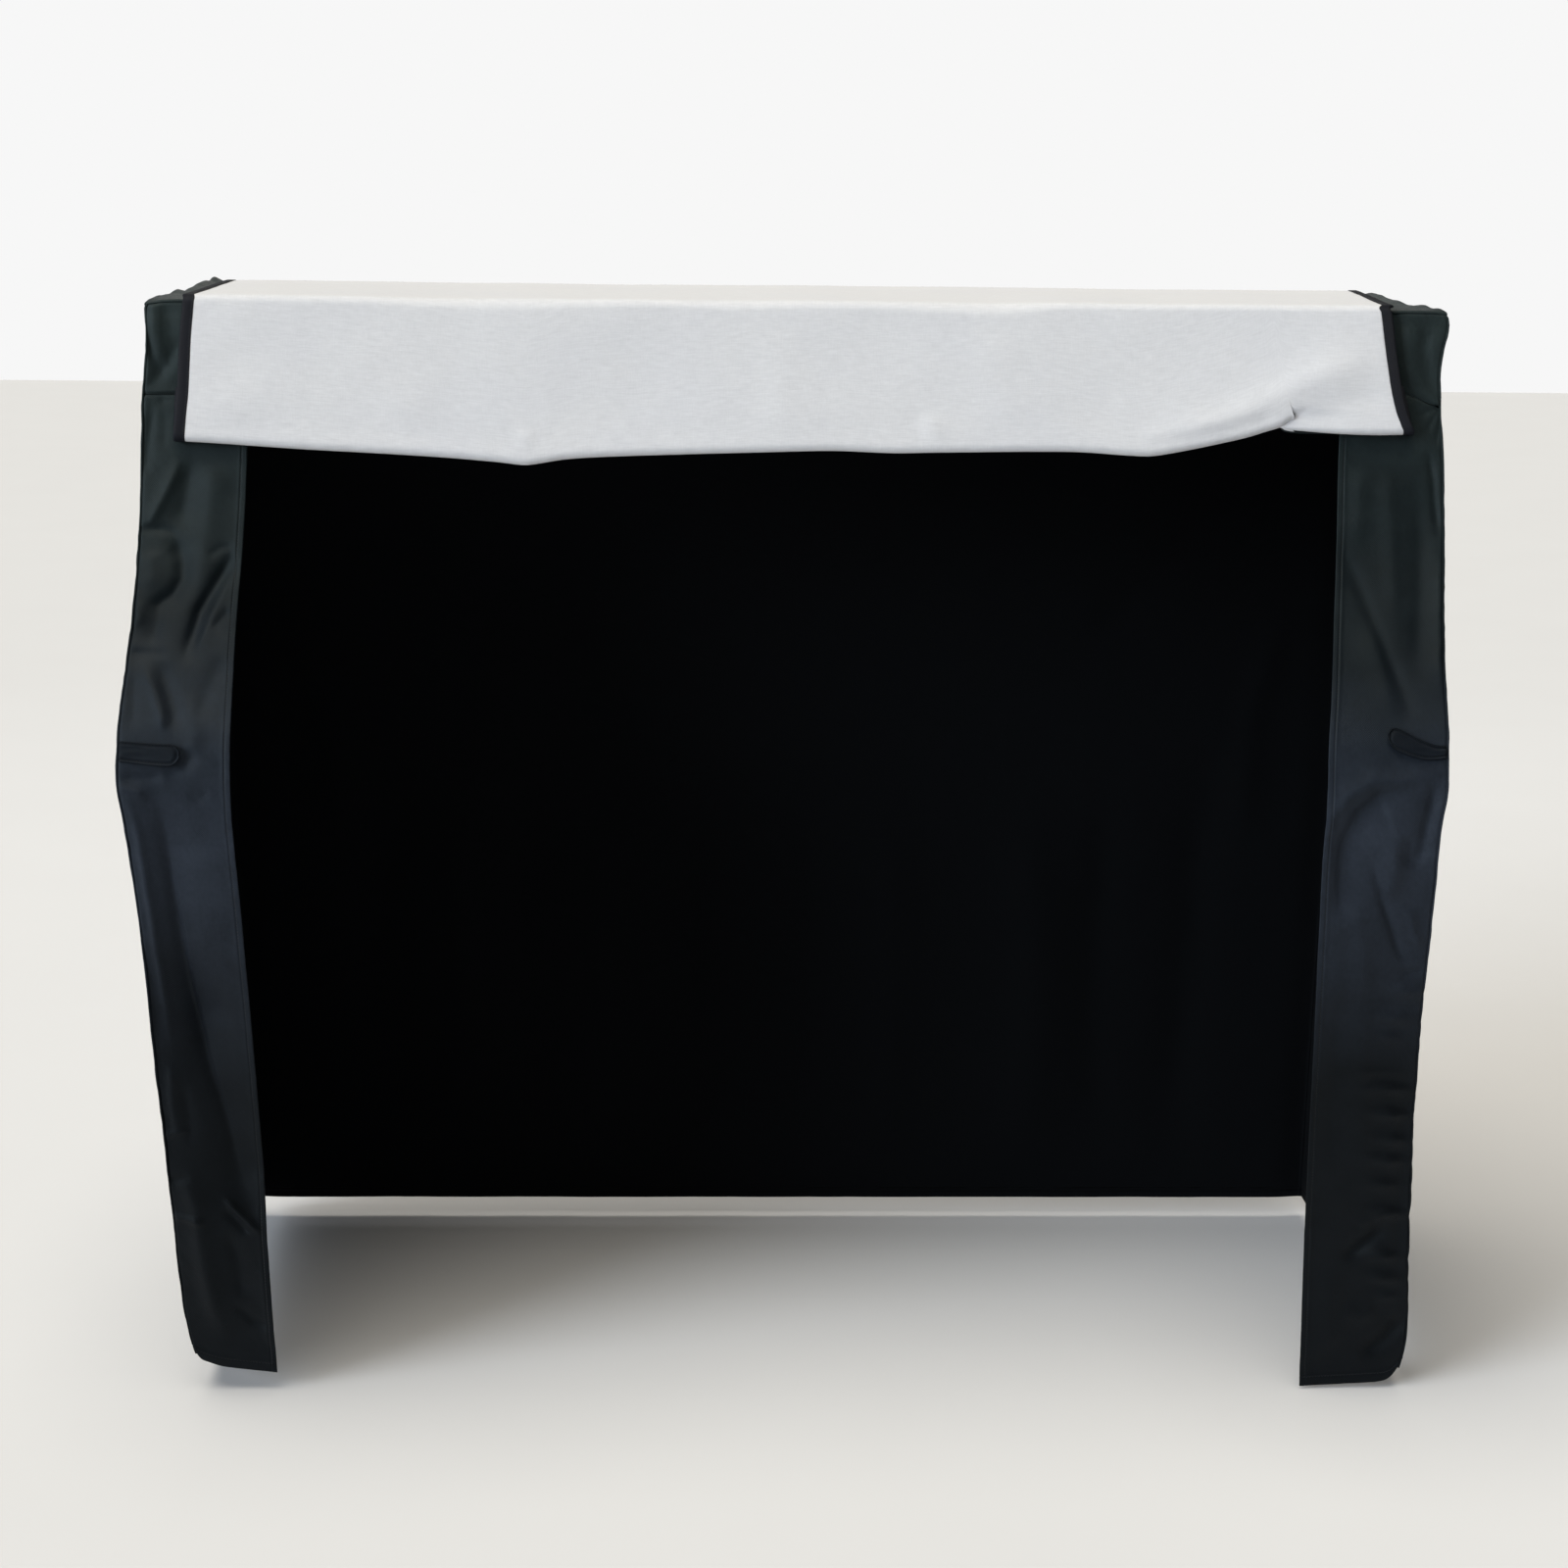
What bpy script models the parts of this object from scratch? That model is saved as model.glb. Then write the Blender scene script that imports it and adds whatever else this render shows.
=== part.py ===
"""Cloth cover for an upright piano, with its front flap thrown back over the top.

Metres, +Z up. X runs along the keyboard, the front is at -Y. The origin is the middle of
the top panel's underside, where the cover rests on the piano that it is pulled over.
"""
import math

import bpy
from mathutils import Vector


def table(columns, *rows):
    """Rows of a short table, each read by its columns' names."""
    return [dict(zip(columns, row)) for row in rows]


# ------------------------------------------------------------------ driving dimensions
CLOTH = 0.0020           # black cloth of the body
FLAP_CLOTH = 0.0012      # black cloth of the flap
LINING = 0.0010          # pale lining on the flap's reverse
SEAM_GAP = 0.0005        # between the top and the walls under it
BUTT_GAP = 0.0008        # between pieces that meet edge to edge round a corner
STRIP_GAP = 0.0013       # between the yoke and the strips under it
LAYER_GAP = 0.0006       # between the flap and its lining
FLAP_STACK = FLAP_CLOTH + LAYER_GAP + LINING
RIM_SLACK = 0.12         # extra room under the top's rim, as a part of its lift

FRONT = -0.178           # front face of the cover at its top edge
BACK = 0.178             # face of the back panel
BACK_HALF_WIDTH = 0.757  # from the middle to the back corners
SHOULDER = 0.010         # how far the walls lean in at the rim of the top
SHOULDER_HEIGHT = 0.020
BACK_TAPER = 0.012       # how far the back corners draw in on their way down
BACK_HEM = 1.262         # how far the back and sides hang below the top
FRONT_HEM_PART = 0.07    # last part of a side's width, where its hem rises to the strip's
BACK_DIP = 0.004         # how far the back panel sinks in under the rim
SEAM_STILL = 0.060       # side and back folds fade out this near to a seam

YOKE_FOOT = 0.106        # seam under the yoke, at its left end
YOKE_RISE = 0.012        # how much higher it runs towards the right
YOKE_SLANT = 0.018       # how much it drops again over its last stretch
YOKE_SLANT_WIDTH = 0.160
YOKE_RIGHT_END = 0.760

FLAP_LAP = 0.008         # how far the flap laps up over the yoke at its seam
FLAP_STAND = 0.0013      # between the lining and the face under it, at the seam
FLAP_CLEAR = 0.0065      # between the flap and the top's front and back edges
FLAP_CREST = 0.0032      # between the flap and the top
FLAP_HANG = 0.570        # free end of the flap, down the back
FLAP_FLARE = 0.014       # how far the free end stands out from the back
FLAP_UNEVEN = 0.0008     # how much its height over the top varies
HEM_UNEVEN = 0.006       # how much the height of its free end varies
FOLD_RADIUS = 0.005      # half the space inside the fold under the yoke
FRONT_TURN = 0.007       # radius over the top's front edge
BACK_TURN = 0.008        # radius over its back edge
BINDING_WIDTH = 0.0125
BINDING_PROUD = 0.0003   # how far the binding stands out from both faces of the flap
BINDING_GAP = 0.0016

TAB_LENGTH = 0.068
TAB_WIDTH = 0.023
TAB_INWARD = 0.004       # from the outer seam to the tab's root
TAB_GAP = 0.0009
TAB_CURL = 0.0015        # how far the free end stands off the strip
TAB_DOWN = {"left": 0.483, "right": 0.474}
TAB_SAG = {"left": 0.003, "right": -0.008}

TOP_COLUMNS = 24         # steps that the top, yoke and back share from left to right
TOP_ROWS = 8             # steps that the top and sides share from back to front
YOKE_ROWS = 4            # steps that the yoke and sides share
STRIP_ROWS = 32          # steps that the strips and sides share
STRIP_COLUMNS = 8
BACK_ROWS = 9
FLAP_COLUMNS = 22
FLAP_RUNS = (2, 1, 4, 5, 7)   # steps along the flap's straight runs
FLAP_TURNS = (2, 2, 3, 3)     # steps round its corners
FLAP_STEPS = sum(FLAP_RUNS) + sum(FLAP_TURNS)

# Level sections through the cover, from the top down. "down" is the distance below the
# top; "reach" is how far the front seams stand forward of the top edge, out over the
# keyboard and back in under it; the others are distances right of the middle.
SECTIONS = table(
    ("down", "reach", "left_seam", "left_edge", "right_edge", "right_seam"),
    (0.000, 0.000, -0.7500, -0.6400, 0.6400, 0.7520),
    (0.020, 0.004, -0.7590, -0.6400, 0.6400, 0.7650),
    (0.070, 0.012, -0.7605, -0.6400, 0.6400, 0.7595),
    (0.106, 0.018, -0.7640, -0.6400, 0.6400, 0.7605),
    (0.190, 0.044, -0.7635, -0.6400, 0.6360, 0.7630),
    (0.270, 0.079, -0.7625, -0.6410, 0.6310, 0.7600),
    (0.350, 0.134, -0.7620, -0.6415, 0.6200, 0.7500),
    (0.420, 0.189, -0.7635, -0.6390, 0.6090, 0.7430),
    (0.470, 0.224, -0.7645, -0.6370, 0.6010, 0.7390),
    (0.520, 0.239, -0.7640, -0.6365, 0.5990, 0.7380),
    (0.570, 0.239, -0.7580, -0.6360, 0.5985, 0.7335),
    (0.670, 0.231, -0.7500, -0.6320, 0.6010, 0.7330),
    (0.870, 0.214, -0.7420, -0.6270, 0.6080, 0.7330),
    (1.070, 0.197, -0.7340, -0.6240, 0.6145, 0.7425),
    (1.170, 0.188, -0.7300, -0.6220, 0.6190, 0.7490),
    (1.290, 0.179, -0.7130, -0.6200, 0.6245, 0.7470),
)

# Foot of each front strip: how far down it hangs, from its outer seam inwards.
STRIP_FEET = table(
    ("inward", "left", "right"),
    (0.000, 1.238, 1.256),
    (0.012, 1.250, 1.270),
    (0.040, 1.256, 1.278),
    (0.130, 1.268, 1.286),
)

# Under edge of the folded flap, lower where it sags and higher where it is pinched.
FLAP_FOLD = table(
    ("x", "down"),
    (-0.730, 0.163),
    (-0.550, 0.172),
    (-0.310, 0.186),
    (-0.180, 0.176),
    (0.000, 0.171),
    (0.230, 0.170),
    (0.370, 0.175),
    (0.450, 0.165),
    (0.560, 0.142),
    (0.730, 0.139),
)

# Long edges of the flap at the corners of its path, from its seam to its free end.
FLAP_EDGES = table(
    ("corner", "left", "right"),
    (0, -0.715, 0.714),     # seam
    (1, -0.713, 0.712),     # fold, inner side
    (2, -0.713, 0.712),     # fold, outer side
    (3, -0.698, 0.684),     # front edge of the top
    (4, -0.735, 0.735),     # back edge of the top
    (5, -0.742, 0.744),     # free end
)

# Corners of the top's rim that stand up or slump: where, how far, and over what radius.
RIM_CORNERS = table(
    ("x", "y", "lift", "radius"),
    (-0.747, BACK, 0.005, 0.030),
    (0.747, BACK, 0.002, 0.030),
    (-0.750, FRONT, -0.003, 0.018),
    (0.752, FRONT, -0.004, 0.025),
)

# Soft folds, from one end to the other: "in" from the outer seam, "down" from the top,
# then half the width and how far the cloth rises. A negative rise is a trough.
FOLD_COLUMNS = ("in_1", "down_1", "in_2", "down_2", "width", "rise")
FRONT_FOLDS = {
    "left": table(
        FOLD_COLUMNS,
        (0.012, 0.035, 0.024, 0.074, 0.010, -0.0030),
        (0.024, 0.074, 0.040, 0.050, 0.010, -0.0030),
        (0.044, 0.190, 0.016, 0.252, 0.014, 0.0050),
        (0.034, 0.266, 0.046, 0.305, 0.013, -0.0050),
        (0.046, 0.305, 0.034, 0.348, 0.013, -0.0050),
        (0.070, 0.200, 0.058, 0.335, 0.018, 0.0060),
        (0.104, 0.285, 0.073, 0.372, 0.013, -0.0060),
        (0.020, 0.400, 0.050, 0.440, 0.014, 0.0040),
        (0.044, 0.545, 0.048, 0.700, 0.016, -0.0060),
        (0.048, 0.700, 0.052, 0.860, 0.016, -0.0060),
        (0.052, 0.860, 0.098, 1.070, 0.016, -0.0050),
        (0.072, 0.700, 0.078, 0.860, 0.016, 0.0040),
        (0.078, 1.050, 0.103, 1.081, 0.012, 0.0050),
    ),
    "right": table(
        FOLD_COLUMNS,
        (0.060, 0.014, 0.054, 0.080, 0.010, -0.0035),
        (0.026, 0.026, 0.014, 0.080, 0.009, -0.0030),
        (0.118, 0.286, 0.072, 0.370, 0.014, -0.0050),
        (0.074, 0.375, 0.056, 0.425, 0.014, 0.0040),
        (0.030, 0.518, 0.078, 0.528, 0.014, 0.0050),
        (0.078, 0.528, 0.112, 0.633, 0.014, 0.0060),
        (0.058, 0.545, 0.092, 0.650, 0.015, -0.0060),
        (0.022, 0.530, 0.022, 0.600, 0.013, -0.0040),
        (0.076, 0.640, 0.040, 0.740, 0.014, -0.0040),
        (0.060, 0.800, 0.055, 1.000, 0.020, 0.0040),
        (0.070, 1.094, 0.020, 1.051, 0.014, -0.0035),
        (0.034, 1.223, 0.016, 1.189, 0.014, -0.0035),
    ),
}
# The same for the side panels, with "in" counted from the front seam towards the back.
SIDE_FOLDS = table(
    FOLD_COLUMNS,
    (0.060, 0.470, 0.330, 0.120, 0.035, -0.0060),
    (0.120, 0.500, 0.430, 0.300, 0.040, 0.0060),
    (0.090, 0.600, 0.110, 1.180, 0.040, 0.0090),
    (0.210, 0.640, 0.200, 1.200, 0.045, -0.0090),
    (0.320, 0.560, 0.330, 1.200, 0.045, 0.0080),
    (0.440, 0.700, 0.430, 1.200, 0.040, -0.0070),
)
# The same for the back panel, with "in" counted from its left corner.
BACK_FOLDS = table(
    FOLD_COLUMNS,
    (0.220, 0.620, 0.200, 1.250, 0.070, 0.0080),
    (0.480, 0.700, 0.500, 1.250, 0.080, -0.0080),
    (0.800, 0.640, 0.780, 1.250, 0.080, 0.0080),
    (1.080, 0.720, 1.110, 1.250, 0.075, -0.0080),
    (1.330, 0.620, 1.300, 1.250, 0.060, 0.0070),
)

# Finish of each material: name, colour, roughness.
BLACK_CLOTH = ("black_cloth", (0.019, 0.022, 0.023), 0.55)
PALE_LINING = ("pale_lining", (0.62, 0.64, 0.66), 0.90)
DARK_BINDING = ("dark_binding", (0.024, 0.025, 0.034), 0.65)


# ------------------------------------------------------------------ curves and folds
def ease(value):
    """0 to 1 with a soft start and stop."""
    value = min(max(value, 0.0), 1.0)
    return value * value * (3.0 - 2.0 * value)


def sway(x, shift):
    """A gentle unevenness between about -1 and 1."""
    return (0.5 * math.sin(9.0 * x + 3.0 * shift + 0.6)
            + 0.3 * math.sin(21.0 * x - 5.0 * shift + 2.1)
            + 0.2 * math.sin(37.0 * x + 1.2))


def along(rows, key, column, at):
    """A column of a table at a place between its rows, as a smooth curve."""
    if at <= rows[0][key]:
        return rows[0][column]
    if at >= rows[-1][key]:
        return rows[-1][column]
    low = max(i for i in range(len(rows) - 1) if rows[i][key] <= at)

    def slope(i):
        before = rows[max(i - 1, 0)]
        after = rows[min(i + 1, len(rows) - 1)]
        return (after[column] - before[column]) / (after[key] - before[key])

    step = rows[low + 1][key] - rows[low][key]
    part = (at - rows[low][key]) / step
    return (rows[low][column] * (1 + 2 * part) * (1 - part) ** 2
            + rows[low + 1][column] * part ** 2 * (3 - 2 * part)
            + slope(low) * step * part * (1 - part) ** 2
            + slope(low + 1) * step * part ** 2 * (part - 1))


def folded(folds, inward, down):
    """How far a cloth rises at a point, from all the soft folds near it."""
    rise = 0.0
    for fold in folds:
        run = Vector((fold["in_2"] - fold["in_1"], fold["down_2"] - fold["down_1"]))
        offset = Vector((inward - fold["in_1"], down - fold["down_1"]))
        part = min(max(offset.dot(run) / run.length_squared, 0.0), 1.0)
        distance = (offset - run * part).length
        rise += fold["rise"] * math.exp(-(distance / fold["width"]) ** 2)
    return rise


def closer_to_ends(part):
    """Spacing of the grid lines that the top and the walls share, denser at the corners."""
    return 0.3 * part + 0.7 * (0.5 - 0.5 * math.cos(math.pi * part))


# ------------------------------------------------------------------ shape of the cover
def seam_x(side, down):
    """Place of a front outer seam, left or right of the middle."""
    return along(SECTIONS, "down", side + "_seam", down)


def front_y(down):
    """Front face of the cover at a level."""
    return FRONT - along(SECTIONS, "down", "reach", down)


def wall_x(side, forward, down):
    """Outer face of a side panel; forward runs from 0 at the back to 1 at the front seam."""
    sign = -1.0 if side == "left" else 1.0
    lean = SHOULDER * (1.0 - ease(down / SHOULDER_HEIGHT)) + BACK_TAPER * ease(down / BACK_HEM)
    back = sign * (BACK_HALF_WIDTH - lean)
    return back + (seam_x(side, down) - back) * ease(forward)


def rim_lift(x, y):
    """How far the top stands up, or slumps, near its corners."""
    return sum(corner["lift"] * math.exp(-((x - corner["x"]) ** 2 + (y - corner["y"]) ** 2)
                                         / corner["radius"] ** 2) for corner in RIM_CORNERS)


def top_point(across, forward):
    """A point of the top's underside, from its left and back edges."""
    left = wall_x("left", forward, 0.0)
    right = wall_x("right", forward, 0.0)
    x = left + (right - left) * across
    y = BACK + (FRONT - BACK) * forward
    return Vector((x, y, rim_lift(x, y)))


def wall_start(across, forward):
    """How far down a wall starts, just under the rim of the top."""
    rim = top_point(across, forward).z
    return SEAM_GAP + RIM_SLACK * abs(rim) - rim


def yoke_foot(x):
    """How far down the seam under the yoke lies."""
    rise = YOKE_RISE * ease((x + 0.60) / 1.20)
    slant_start = YOKE_RIGHT_END - YOKE_SLANT_WIDTH
    slant = YOKE_SLANT * max(0.0, x - slant_start) / YOKE_SLANT_WIDTH
    return YOKE_FOOT - rise + slant


def strip_span(side, part):
    """Where a strip starts and ends, at a part of its width from the outer seam."""
    sign = 1.0 if side == "left" else -1.0
    inward = part * STRIP_FEET[-1]["inward"]
    start = yoke_foot(seam_x(side, YOKE_FOOT) + sign * inward) + STRIP_GAP
    return start, along(STRIP_FEET, "inward", side, inward)


def seam_down(side, part):
    """Level along a front outer seam, at the grid lines of the yoke and strip beside it."""
    top = wall_start(0.0 if side == "left" else 1.0, 1.0)
    start, end = strip_span(side, 0.0)
    row = part * (YOKE_ROWS + STRIP_ROWS)
    if row <= YOKE_ROWS:
        return top + (start - top) * row / YOKE_ROWS
    return start + (end - start) * (row - YOKE_ROWS) / STRIP_ROWS


def front_rise(side, inward, down):
    """Folds of a strip or yoke end; still at its outer seam, under the flap and the tab."""
    hidden = ease((down - 0.106) / 0.020) * (1.0 - ease((down - 0.185) / 0.045))
    under_flap = hidden * ease((inward - 0.020) / 0.020)
    beside_tab = math.exp(-((down - TAB_DOWN[side]) / 0.030) ** 4)
    under_tab = beside_tab * (1.0 - ease((inward - TAB_LENGTH) / 0.030))
    rise = folded(FRONT_FOLDS[side], inward, down) * ease(inward / 0.024)
    return rise * (1.0 - under_flap) * (1.0 - under_tab)


def front_point(side, inward, down):
    """A point on the front face of a strip or yoke end."""
    sign = 1.0 if side == "left" else -1.0
    x = seam_x(side, down) + sign * inward
    return Vector((x, front_y(down) - front_rise(side, inward, down), -down))


# ------------------------------------------------------------------ making a sheet
def material(finish):
    """A cloth's material, made once."""
    name, colour, roughness = finish
    made = bpy.data.materials.get(name)
    if made is None:
        made = bpy.data.materials.new(name)
        made.use_nodes = True
        shader = made.node_tree.nodes["Principled BSDF"]
        shader.inputs["Base Color"].default_value = (*colour, 1.0)
        shader.inputs["Roughness"].default_value = roughness
        shader.inputs["Metallic"].default_value = 0.0
        made.diffuse_color = (*colour, 1.0)
    return made


def sheet(name, columns, rows, place, thickness, finish):
    """A thin cloth: a grid whose outer face is laid by place(across, down), then thickened."""
    bpy.ops.mesh.primitive_grid_add(x_subdivisions=columns, y_subdivisions=rows, size=1.0)
    cloth = bpy.context.object
    cloth.name = name
    cloth.data.name = name
    for vertex in cloth.data.vertices:
        vertex.co = place(vertex.co.x + 0.5, 0.5 - vertex.co.y)
    cloth.data.materials.append(material(finish))
    cloth.data.shade_smooth()
    shell = cloth.modifiers.new("thickness", "SOLIDIFY")
    shell.thickness = thickness
    shell.offset = -1.0
    for owner in list(cloth.users_collection):
        owner.objects.unlink(cloth)
    bpy.data.collections["piano_cover"].objects.link(cloth)
    cloth.parent = bpy.data.objects["cover_origin"]


# ------------------------------------------------------------------ body of the cover
def make_top_panel():
    """The top, which lies like a lid on the upper edges of the walls."""
    def place(across, down):
        underside = top_point(closer_to_ends(across), closer_to_ends(down))
        return underside + Vector((0.0, 0.0, CLOTH))

    sheet("top_panel", TOP_COLUMNS, TOP_ROWS, place, CLOTH, BLACK_CLOTH)


def make_yoke():
    """The band across the front, between the side panels."""
    def place(across, down):
        spread = closer_to_ends(across)
        start = wall_start(spread, 1.0)
        drop = start + (yoke_foot(top_point(spread, 1.0).x) - start) * down
        left = seam_x("left", drop) + CLOTH + BUTT_GAP
        right = seam_x("right", drop) - CLOTH - BUTT_GAP
        x = left + (right - left) * spread
        side = "left" if x < 0.0 else "right"
        return front_point(side, abs(x - seam_x(side, drop)), drop)

    sheet("yoke", TOP_COLUMNS, YOKE_ROWS, place, CLOTH, BLACK_CLOTH)


def make_strip(side):
    """A front strip, from the yoke's seam to the floor, beside the opening."""
    def place(across, down):
        part = across if side == "left" else 1.0 - across
        start, end = strip_span(side, part)
        drop = start + (end - start) * down
        width = abs(along(SECTIONS, "down", side + "_edge", drop) - seam_x(side, drop))
        outer = CLOTH + BUTT_GAP
        return front_point(side, outer + (width - outer) * part, drop)

    sheet("strip_" + side, STRIP_COLUMNS, STRIP_ROWS, place, CLOTH, BLACK_CLOTH)


def make_side(side):
    """A side panel, from the back corner to the slanting front seam."""
    sign = -1.0 if side == "left" else 1.0
    edge = 0.0 if side == "left" else 1.0
    top, foot = seam_down(side, 0.0), seam_down(side, 1.0)

    def place(across, down):
        forward = closer_to_ends(across if side == "left" else 1.0 - across)
        level = (seam_down(side, down) - top) / (foot - top)
        start = wall_start(edge, forward)
        into_front = (forward - 1.0 + FRONT_HEM_PART) / FRONT_HEM_PART
        end = BACK_HEM + (foot - BACK_HEM) * ease(into_front)
        drop = start + (end - start) * level
        y = BACK + (front_y(drop) - BACK) * forward
        from_seam = abs(front_y(drop) - y)
        loose = ease(from_seam / SEAM_STILL) * ease((BACK - y) / SEAM_STILL)
        bulge = loose * folded(SIDE_FOLDS, from_seam, drop)
        return Vector((wall_x(side, forward, drop) + sign * bulge, y, -drop))

    sheet("side_" + side, TOP_ROWS, YOKE_ROWS + STRIP_ROWS, place, CLOTH, BLACK_CLOTH)


def make_back():
    """The back panel, between the side panels."""
    def place(across, down):
        spread = closer_to_ends(1.0 - across)
        start = wall_start(spread, 0.0)
        drop = start + (BACK_HEM - start) * down
        half = wall_x("right", 0.0, drop) - CLOTH - BUTT_GAP
        x = half * (2.0 * spread - 1.0)
        loose = ease((half - abs(x)) / SEAM_STILL)
        bulge = folded(BACK_FOLDS, x + BACK_HALF_WIDTH, drop) - BACK_DIP * ease(drop / 0.3)
        return Vector((x, BACK + loose * bulge, -drop))

    sheet("back_panel", TOP_COLUMNS, BACK_ROWS, place, CLOTH, BLACK_CLOTH)


# ------------------------------------------------------------------ flap
def rounded(corners, radii):
    """A bent path in the YZ plane, with an arc at each corner.

    Each point comes with its place along the path, counted in corners.
    """
    points = [(corners[0], 0.0)]
    last = corners[0]
    for index, radius in enumerate(radii):
        before, corner, after = corners[index:index + 3]
        arrive = (corner - before).normalized()
        leave = (after - corner).normalized()
        turn = math.acos(max(-1.0, min(1.0, arrive.dot(leave))))
        cut = radius * math.tan(turn / 2.0)
        start, stop = corner - arrive * cut, corner + leave * cut
        run = FLAP_RUNS[index]
        points += [(last.lerp(start, i / run), index + 0.9 * i / run) for i in range(1, run)]
        for i in range(FLAP_TURNS[index] + 1):
            t = i / FLAP_TURNS[index]
            pull = 2.0 * (1.0 - t) * t * math.cos(turn / 2.0)
            bend = start * (1.0 - t) ** 2 + corner * pull + stop * t ** 2
            points.append((bend / ((1.0 - t) ** 2 + pull + t ** 2), index + 0.9 + 0.2 * t))
        last = stop
    run = FLAP_RUNS[-1]
    start = len(radii) + 0.1
    points += [(last.lerp(corners[-1], i / run), start + 0.9 * i / run) for i in range(1, run + 1)]
    return points


def flap_path(x):
    """The flap's black face at one place across it, from its seam to its free end."""
    lap = yoke_foot(x) - FLAP_LAP
    fold = along(FLAP_FOLD, "x", "down", x)
    seam = Vector((front_y(lap) - FLAP_STACK - FLAP_STAND, -lap))
    root = Vector((seam.x + front_y(fold) - front_y(lap), -fold))
    outer = Vector((root.x - 2.0 * FOLD_RADIUS, -fold))
    crest = CLOTH + FLAP_CREST + FLAP_UNEVEN * sway(x, 0.0)
    front = Vector((FRONT - FLAP_CLEAR, crest))
    back = Vector((BACK + FLAP_CLEAR, crest + rim_lift(x, BACK)))
    flare = FLAP_FLARE + 0.4 * FLAP_FLARE * sway(0.7 * x, 1.0)
    hang = FLAP_HANG + HEM_UNEVEN * sway(0.4 * x, 2.0)
    free = Vector((back.x + flare, -hang))
    fold_turn = 0.98 * FOLD_RADIUS
    front_turn = FRONT_TURN + 0.001 * sway(x, 0.4)
    return rounded((seam, root, outer, front, back, free),
                   (fold_turn, fold_turn, front_turn, BACK_TURN))


def flap_point(across, down, proud):
    """Left and right edges of the flap at a step of its path, and its place in YZ there."""
    path = flap_path(-0.74 + 1.48 * across)
    index = round(down * FLAP_STEPS)
    point, corner = path[index]
    heading = path[min(index + 1, FLAP_STEPS)][0] - path[max(index - 1, 0)][0]
    black_side = Vector((heading.y, -heading.x)).normalized()
    left = along(FLAP_EDGES, "corner", "left", corner)
    right = along(FLAP_EDGES, "corner", "right", corner)
    return left, right, point + black_side * proud


def make_flap_layer(name, proud, thickness, finish):
    """One layer of the flap, from its seam under the yoke to its free end at the back."""
    def place(across, down):
        left, right, here = flap_point(across, down, proud)
        return Vector((left + (right - left) * across, here.x, here.y))

    sheet(name, FLAP_COLUMNS, FLAP_STEPS, place, thickness, finish)


def make_binding(side):
    """The tape that covers both faces of a long edge of the flap."""
    def place(across, down):
        left, right, here = flap_point(0.0 if side == "left" else 1.0, down, BINDING_PROUD)
        if side == "left":
            x = left - BINDING_GAP - BINDING_WIDTH * (1.0 - across)
        else:
            x = right + BINDING_GAP + BINDING_WIDTH * across
        return Vector((x, here.x, here.y))

    thickness = FLAP_STACK + 2.0 * BINDING_PROUD
    sheet("binding_" + side, 1, FLAP_STEPS, place, thickness, DARK_BINDING)


# ------------------------------------------------------------------ tabs
def make_tab(side):
    """A short tab sewn into the outer seam, lying on the strip, round at its free end."""
    radius = TAB_WIDTH / 2.0

    def place(across, down):
        part = across if side == "left" else 1.0 - across
        into_end = max(0.0, part * TAB_LENGTH - TAB_LENGTH + radius) / radius
        half = radius * math.sqrt(max(0.12, 1.0 - into_end ** 2))
        drop = TAB_DOWN[side] + TAB_SAG[side] * ease(part) + 2.0 * half * (down - 0.5)
        point = front_point(side, TAB_INWARD + TAB_LENGTH * part, drop)
        return point - Vector((0.0, CLOTH + TAB_GAP + TAB_CURL * ease(part), 0.0))

    sheet("tab_" + side, 8, 3, place, CLOTH, BLACK_CLOTH)


# ------------------------------------------------------------------ build
def clear_scene():
    """Remove whatever the file already holds."""
    for item in list(bpy.data.objects):
        bpy.data.objects.remove(item, do_unlink=True)


def main():
    clear_scene()
    cover = bpy.data.collections.new("piano_cover")
    bpy.context.scene.collection.children.link(cover)
    cover.objects.link(bpy.data.objects.new("cover_origin", None))

    make_top_panel()
    make_yoke()
    make_back()
    for side in ("left", "right"):
        make_side(side)
        make_strip(side)
        make_tab(side)
        make_binding(side)
    make_flap_layer("flap_cloth", 0.0, FLAP_CLOTH, BLACK_CLOTH)
    make_flap_layer("flap_lining", -(FLAP_CLOTH + LAYER_GAP), LINING, PALE_LINING)


main()
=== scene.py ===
"""Dressed model of an upright piano's cloth cover, its front flap thrown back over the top.

Run as a script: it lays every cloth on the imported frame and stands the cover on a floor.
+Z is up, X runs along the keyboard, the front is at -Y, and the origin is the middle
of the top panel's underside. "down" is a distance below that. Lengths are in metres, but
the tables are written in millimetres.
"""

import math

import bpy
import numpy as np
from bpy.props import FloatProperty, FloatVectorProperty, PointerProperty
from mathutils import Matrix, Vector


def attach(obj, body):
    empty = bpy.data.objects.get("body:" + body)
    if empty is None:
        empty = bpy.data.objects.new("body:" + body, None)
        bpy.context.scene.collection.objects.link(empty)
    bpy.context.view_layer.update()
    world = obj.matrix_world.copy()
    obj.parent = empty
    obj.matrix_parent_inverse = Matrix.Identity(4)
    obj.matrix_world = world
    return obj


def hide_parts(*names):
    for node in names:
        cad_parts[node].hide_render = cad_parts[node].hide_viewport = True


bl_info = {
    "name": "Piano Cover",
    "version": (1, 0, 0),
    "blender": (4, 5, 0),
    "location": "3D View > Sidebar > Piano Cover",
    "description": "Lays the cloths, tapes and stitches of an upright piano's cover",
    "category": "Add Mesh",
}

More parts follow.
